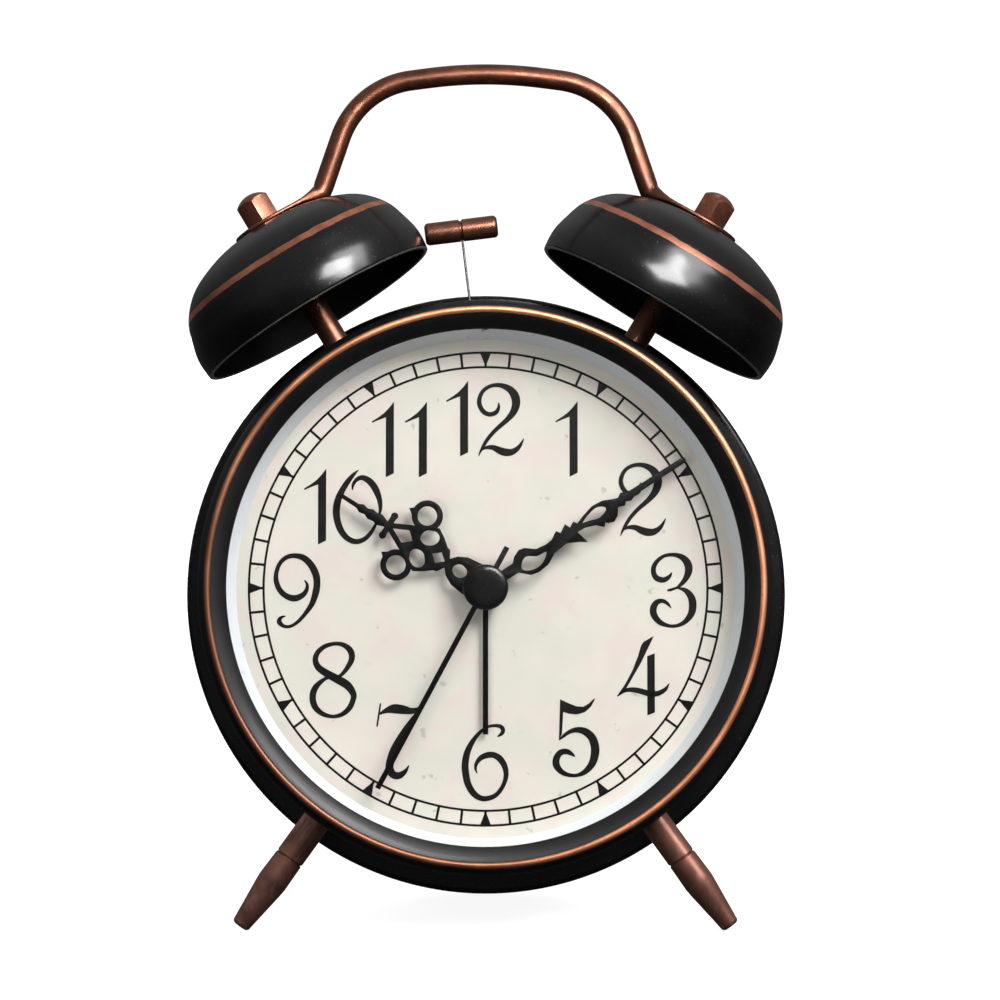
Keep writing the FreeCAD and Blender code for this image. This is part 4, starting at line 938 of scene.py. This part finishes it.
# Distance from the stud towards the rod, half width and half thickness of the hammered end.
TAB_SECTIONS = [(-7.0, 0.55, 0.28), (-6.9, 1.25, 0.46), (-6.5, 2.6, 0.55), (-5.6, 4.2, 0.55),
                (-4.2, 5.6, 0.55), (-2.2, 6.64, 0.55), (0.0, 7.0, 0.55), (2.4, 6.7, 0.55),
                (5.0, 6.05, 0.55), (7.4, 5.35, 0.55), (9.2, 4.6, 0.68), (10.8, 3.75, 1.05),
                (12.0, 3.05, 1.5), (13.0, 2.5, 1.9), (13.6, 2.2, 2.06)]
bell_lean = math.radians(BELL_LEAN)
outwards = Vector((math.sin(bell_lean), 0, math.cos(bell_lean)))
inwards = Vector((-math.cos(bell_lean), 0, math.sin(bell_lean)))
stud_top = outwards * TAB_MIDDLE + Vector((0, BELL_DEPTH, 0))
knee = stud_top + inwards * TAB_REACH
crown_slope = math.radians(HANDLE_CROWN)
corner_x = knee.x - HANDLE_LEAN_IN
crown_bend = CROWN_SHARE * corner_x / math.tan(crown_slope)
peak = knee.z + HANDLE_RISE + crown_bend * (1 / math.cos(crown_slope) - 1)
corner = Vector((corner_x, BELL_DEPTH, peak - corner_x * math.tan(crown_slope)))
top = Vector((0, BELL_DEPTH, peak))


def bend_through(before, at, after, radius, steps):
    """Points of the arc that rounds a corner of the rod."""
    back = (before - at).normalized()
    on = (after - at).normalized()
    half_turn = (math.pi - back.angle(on)) / 2
    centre = at + (back + on).normalized() * (radius / math.cos(half_turn))
    start = at + back * radius * math.tan(half_turn) - centre
    end = at + on * radius * math.tan(half_turn) - centre
    sweep = start.angle(end)
    shares = [k / steps for k in range(steps + 1)]
    return [centre + (start * math.sin(sweep * (1 - share)) + end * math.sin(sweep * share))
            / math.sin(sweep) for share in shares]


right_half = [(stud_top + inwards * out, wide, thick) for out, wide, thick in TAB_SECTIONS]
bend = bend_through(knee, corner, top, HANDLE_BEND, 22)
rise = [knee.lerp(bend[0], share) for share in (0.12, 0.3, 0.5, 0.7, 0.88)]
grip = bend_through(corner, top, Vector((-corner.x, corner.y, corner.z)), crown_bend, 24)[:13]
rod_line = rise + bend + [bend[-1].lerp(grip[0], 0.5)] + grip
right_half += [(spot, HANDLE_ROD, HANDLE_ROD) for spot in rod_line]
whole = right_half + [(Vector((-spot.x, spot.y, spot.z)), wide, thick)
                      for spot, wide, thick in right_half[-2::-1]]
points, faces = [], []
for i, (spot, wide, thick) in enumerate(whole):
    run = (whole[min(i + 1, len(whole) - 1)][0] - whole[max(i - 1, 0)][0]).normalized()
    across = Vector((0, 1, 0))
    over = run.cross(across)
    flatness = max(0.0, min(1.0, (wide / thick - FLAT_FROM) / FLAT_OVER))
    power = 2 / (ROUND_SECTION + SQUARER_BY * flatness)
    for k in range(HANDLE_STEPS):
        angle = 2 * math.pi * k / HANDLE_STEPS
        reach, lift = (math.copysign(abs(share) ** power, share)
                       for share in (math.cos(angle), math.sin(angle)))
        points.append(spot + across * reach * wide + over * lift * thick)
for ring in range(0, (len(whole) - 1) * HANDLE_STEPS, HANDLE_STEPS):
    for k in range(HANDLE_STEPS):
        near, beside = ring + k, ring + (k + 1) % HANDLE_STEPS
        faces.append([near, beside, beside + HANDLE_STEPS, near + HANDLE_STEPS])
faces.append(list(range(HANDLE_STEPS)))
faces.append([(len(whole) - 1) * HANDLE_STEPS + k for k in reversed(range(HANDLE_STEPS))])
handle_copper = finish("antique_copper_handle", antique_copper(
    (0.045, 0.016, 0.009), (0.125, 0.044, 0.024), (0.32, 0.13, 0.075), 0.32))
settle(formed("handle_finished", points, faces, CLOCK, [handle_copper], 50), "handle")

# ---------------------------------------------------------------- striker
# A short turned hammer of copper-plated steel on a spring wire. The wire is soldered into an arm
# that an electromagnet behind the dial pulls from side to side.
hammer_copper = finish("antique_copper_hammer", antique_copper(
    (0.04, 0.014, 0.009), (0.125, 0.045, 0.027), (0.36, 0.16, 0.10), 0.30, 0.7))
dressed("hammer_head", hammer_copper)


def spring_steel(wire):
    """Blued spring wire, wiped with oil."""
    tone = wire.noise(1.5, 3)
    colour = tone.clouded((0.05, 0.05, 0.055), (0.12, 0.12, 0.125))
    return wire.surface(colour, tone.between(0.3, 0.7, 0.38, 0.5),
                        wire.noise(0.3, 2).bump(0.05, 0.01), metal=0.6)


dressed("hammer_wire", finish("spring_steel", spring_steel))
for node in ("hammer_arm", "hammer_bracket", "striker_core", "stator"):
    dressed(node, steel, 0.12)


def enamelled_wire(wire):
    """Windings of enamelled copper wire: fine ridges round the bobbin, dark between the turns."""
    turns = wire.node("TexWave", {"Vector": wire.position(), "Scale": 520.0, "Distortion": 0.6,
                                  "Detail": 1.0}, out="Fac", bands_direction="X")
    tone = wire.noise(3, 3)
    copper = tone.clouded((0.42, 0.14, 0.05), (0.58, 0.22, 0.09))
    colour = turns.between(0.05, 0.5).blend((0.10, 0.03, 0.012), copper)
    return wire.surface(colour, tone.between(0.3, 0.7, 0.28, 0.4), turns.bump(0.6, 0.06),
                        metal=0.7)


winding = finish("enamelled_wire", enamelled_wire)
for node in ("striker_coil", "drive_coil"):
    dressed(node, winding)

# ---------------------------------------------------------------- legs
# Two turned legs, copper-plated and browned, with a fine groove above the tapered foot. Each is
# screwed into the drum and held by a nut inside it.
leg_copper = finish("antique_copper_leg", antique_copper(
    (0.085, 0.037, 0.027), (0.25, 0.112, 0.080), (0.52, 0.27, 0.20), 0.32, 0.8))
for name in ("left", "right"):
    dressed("leg_" + name, leg_copper)
    dressed("leg_nut_" + name, steel, 0.15)


# ---------------------------------------------------------------- rear cover and battery door
# Injection-moulded black cover, spark-textured, with a battery bay let into it and a door that
# lies flush over the cells. Two slotted screws hold it to the rear ring.
def moulded_black(tone, rough):
    """Spark-textured plastic: fine even grain, faint flow clouds, polish where it is held."""
    def plastic(wire):
        grain = wire.noise(0.42, 3, 0.6)
        flow = wire.noise(18, 3)
        polish = wire.noise(7, 3).between(0.5, 0.72)
        scuff = wire.noise(0.9, 4, 0.6, stretch=(1, 1, 5)).between(0.70, 0.80)
        colour = flow.clouded(tone, tuple(part * 1.5 for part in tone))
        worn = (scuff * 0.35).blend(colour, (0.09, 0.09, 0.09))
        return wire.surface(worn, rough - polish * 0.10 + (grain - 0.5) * 0.12,
                            grain.bump(0.30, 0.06))
    return plastic


cover_plastic = finish("moulded_black", moulded_black((0.020, 0.020, 0.0215), 0.50))
control_plastic = finish("control_black", moulded_black((0.032, 0.032, 0.034), 0.40))
dressed("rear_cover", cover_plastic, 0.22)
dressed("battery_door", cover_plastic, 0.18)
for name in ("left", "right"):
    dressed("cover_screw_" + name, steel, 0.08)

# ---------------------------------------------------------------- knobs, switch and light button
# Setting knobs with grip grooves, the alarm slider and the light's push button, all in a slightly
# glossier black plastic than the cover.
for node in ("time_set_knob", "alarm_set_knob"):
    dressed(node, control_plastic, 0.12)
dressed("alarm_switch", control_plastic, 0.25)
dressed("light_button", control_plastic, 0.3)


# ---------------------------------------------------------------- battery cells and contacts
# Two AA cells in shrunk plastic sleeves, dark along the middle and amber at both shoulders,
# between nickel-plated contact springs.
SHOULDER_OUT = 0.0150
BARE_OUT = 0.0238


def sleeve(wire):
    """Printed sleeve by how far out along the cell the point lies; the ends are bare steel."""
    across = wire.node("SeparateXYZ", {0: wire.position()}, out="X")
    out = wire.maths("ABSOLUTE", across)
    shoulder = out.between(SHOULDER_OUT, SHOULDER_OUT + 0.0002)
    bare = out.between(BARE_OUT, BARE_OUT + 0.0001)
    scuffs = wire.noise(1.2, 4, 0.6).between(0.62, 0.74)
    dark = (0.015, 0.017, 0.022)
    wrapped = shoulder.blend(dark, (0.55, 0.30, 0.06))
    scuffed = (scuffs * 0.25).blend(wrapped, (0.35, 0.35, 0.36))
    colour = bare.blend(scuffed, (0.62, 0.62, 0.60))
    return wire.surface(colour, wire.noise(3, 3).between(0.3, 0.7, 0.22, 0.34),
                        wire.noise(2.5, 3).bump(0.05, 0.05), metal=bare * 0.95)


cell_sleeve = finish("cell_sleeve", sleeve)
for name in ("upper", "lower"):
    dressed("battery_cell_" + name, cell_sleeve, 0.2, 40)
for name in ("left", "right"):
    dressed("battery_contact_" + name, steel)


# ---------------------------------------------------------------- movement
# Quartz movement behind the dial: a two-part plastic case, plastic and brass wheels, the rotor's
# magnet, the lamp and the circuit board on the cover's posts.
def mouldings(ground, shade, rough, grain_mm=0.5):
    """Plain moulded plastic with slight sink clouds and a fine grain."""
    def plastic(wire):
        grain = wire.noise(grain_mm, 3)
        cloud = wire.noise(8, 3)
        colour = cloud.clouded(ground, shade)
        grimy = (wire.noise(3, 4).between(0.62, 0.75) * 0.2).blend(colour, (0.2, 0.17, 0.13))
        return wire.surface(grimy, grain.between(0.3, 0.7, rough - 0.05, rough + 0.05),
                            grain.bump(0.15, 0.04))
    return plastic


def cut_brass(wire):
    """Machined brass with fine cutting marks and a little tarnish."""
    marks = wire.noise(0.3, 3, 0.6, stretch=(6, 1, 1))
    tarnish_or_painted_shade = wire.noise(2.5, 4)
    colour = tarnish_or_painted_shade.between(0.4, 0.7).blend((0.60, 0.42, 0.16), (0.36, 0.23, 0.09))
    return wire.surface(colour, tarnish_or_painted_shade.between(0.3, 0.7, 0.24, 0.42), marks.bump(0.1, 0.02),
                        metal=0.95)


def pressed_magnet(wire):
    """Sintered magnet, dark grey and slightly grainy."""
    grain = wire.noise(0.3, 3)
    colour = grain.clouded((0.05, 0.05, 0.055), (0.11, 0.11, 0.115))
    return wire.surface(colour, grain.between(0.3, 0.7, 0.45, 0.6), grain.bump(0.2, 0.03),
                        metal=0.5)


def lacquered_board(wire):
    """Green lacquer over copper tracks."""
    tracks = wire.node("TexBrick", {"Vector": wire.position(), "Scale": 140.0,
                                    "Mortar Size": 0.03}, out="Fac")
    tone = wire.noise(5, 3)
    green = tone.clouded((0.010, 0.085, 0.035), (0.016, 0.12, 0.05))
    colour = (tracks * 0.6).blend(green, (0.05, 0.20, 0.08))
    return wire.surface(colour, tone.between(0.3, 0.7, 0.25, 0.4), tracks.bump(0.3, 0.05))


case_plastic = finish("movement_plastic", mouldings((0.05, 0.05, 0.055), (0.08, 0.08, 0.085), 0.5))
wheel_plastic = finish("wheel_plastic",
                       mouldings((0.70, 0.69, 0.65), (0.78, 0.77, 0.73), 0.4, 0.3))
lamp_plastic = finish("lamp_plastic", mouldings((0.75, 0.76, 0.72), (0.82, 0.82, 0.78), 0.2, 0.8))
brass = finish("cut_brass", cut_brass)
magnet = finish("pressed_magnet", pressed_magnet)
board = finish("lacquered_board", lacquered_board)
for material, inside in ((case_plastic, ("movement_front", "movement_back")),
                         (wheel_plastic, ("hour_wheel", "motion_wheel", "alarm_wheel")),
                         (brass, ("minute_arbor", "alarm_arbor", "second_wheel", "third_wheel")),
                         (magnet, ("rotor",)),
                         (board, ("circuit_board",)),
                         (lamp_plastic, ("dial_lamp",))):
    for node in inside:
        frame["nodes"][node].data.materials[0] = material

# ---------------------------------------------------------------- studio
# A wide pale floor under a room that is bright overhead and dark at eye level, one large soft key
# high on the right, soft fills from the left and from behind, and a card that only shows as shine.
FLOOR_HALF = 12.0
FLOOR_DROP = 0.0002
floor_mesh = bpy.data.meshes.new("studio_floor")
floor_mesh.from_pydata([(x * FLOOR_HALF, y * FLOOR_HALF, -FLOOR_DROP) for x, y in
                        ((-1, -1), (1, -1), (1, 1), (-1, 1))], [], [(0, 1, 2, 3)])


def pale_paper(wire):
    """White paper that glows a little, so it stays clean behind the clock."""
    tone = wire.noise(300, 2).clouded((0.40, 0.40, 0.40), (0.42, 0.42, 0.42))
    return wire.surface(tone, 0.9, specular=0.0, glow=(0.9, 0.9, 0.9), glow_strength=1.0)


floor_mesh.materials.append(finish("pale_paper", pale_paper))
floor = bpy.data.objects.new("studio_floor", floor_mesh)
floor.visible_glossy = False
floor.visible_diffuse = False
on_scene.link(floor)

world = bpy.data.worlds.new("studio")
world.use_nodes = True
air = Wire(world.node_tree)
world.node_tree.nodes.clear()
look = air.node("SeparateXYZ", {0: air.node("TexCoord", out="Generated")}, out="Z")
room = look.between(-0.25, 0.95, 0.04, 0.5).blend((0, 0, 0), (1.0, 1.0, 1.0))
seen = air.node("LightPath", out="Is Camera Ray").blend(room, (1.05, 1.05, 1.05))
light_of_room = air.node("Background", {"Color": seen, "Strength": 1.0})
world_end = world.node_tree.nodes.new("ShaderNodeOutputWorld")
world.node_tree.links.new(light_of_room.socket, world_end.inputs["Surface"])
bpy.context.scene.world = world


def softbox(name, place, aim, width, height, watts, lights=True, shines=True):
    """A square of soft light, aimed at a point and not seen itself."""
    lamp = bpy.data.lights.new(name, "AREA")
    lamp.shape = "RECTANGLE"
    lamp.size = width
    lamp.size_y = height
    lamp.energy = watts
    made = bpy.data.objects.new(name, lamp)
    made.location = place
    made.rotation_mode = "QUATERNION"
    made.rotation_quaternion = (Vector(aim) - Vector(place)).to_track_quat("-Z", "Y")
    made.visible_camera = False
    made.visible_diffuse = lights
    made.visible_glossy = shines
    on_scene.link(made)


middle = (cad_low + cad_high) / 2
softbox("key", middle + Vector((0.42, -0.40, 0.62)), middle, 0.45, 0.45, 8.3)
softbox("fill", middle + Vector((-0.40, -0.75, -0.02)), middle, 0.5, 0.5, 2.4, shines=False)
softbox("back", middle + Vector((-0.35, 0.80, 0.20)), middle, 0.6, 0.6, 7.0, shines=False)
softbox("bell_card", middle + Vector((0.062, -0.16, 0.165)), middle + Vector((0, 0, 0.045)),
        0.11, 0.085, 0.95, lights=False)

# ---------------------------------------------------------------- camera
# It looks nearly square on to the leaning face, a little from below and to the right of the
# middle.
LENS_MM = 131.2
SENSOR_MM = 36.0
CAMERA_BACK = 735.0
CAMERA_SIDE = 2.96
CAMERA_RISE = 17.34
CAMERA_TILT = math.radians(3.7)
look_along = Vector((0, math.cos(CAMERA_TILT), math.sin(CAMERA_TILT)))
look_up = Vector((0, -math.sin(CAMERA_TILT), math.cos(CAMERA_TILT)))
stand_at = Vector((CAMERA_SIDE, 0, 0)) + look_up * CAMERA_RISE - look_along * CAMERA_BACK
turn = CLOCK.to_3x3() * (1 / MM)
camera = bpy.data.objects.new("camera", bpy.data.cameras.new("camera"))
camera.data.lens = LENS_MM
camera.data.sensor_width = SENSOR_MM
camera.data.clip_start = 0.05
camera.data.clip_end = 60.0
on_scene.link(camera)
axes = Matrix((turn @ Vector((1, 0, 0)), turn @ look_up, turn @ -look_along)).transposed()
camera.matrix_world = Matrix.Translation(CLOCK @ stand_at) @ axes.to_4x4()
bpy.context.scene.camera = camera
bpy.context.scene.view_settings.view_transform = "Standard"
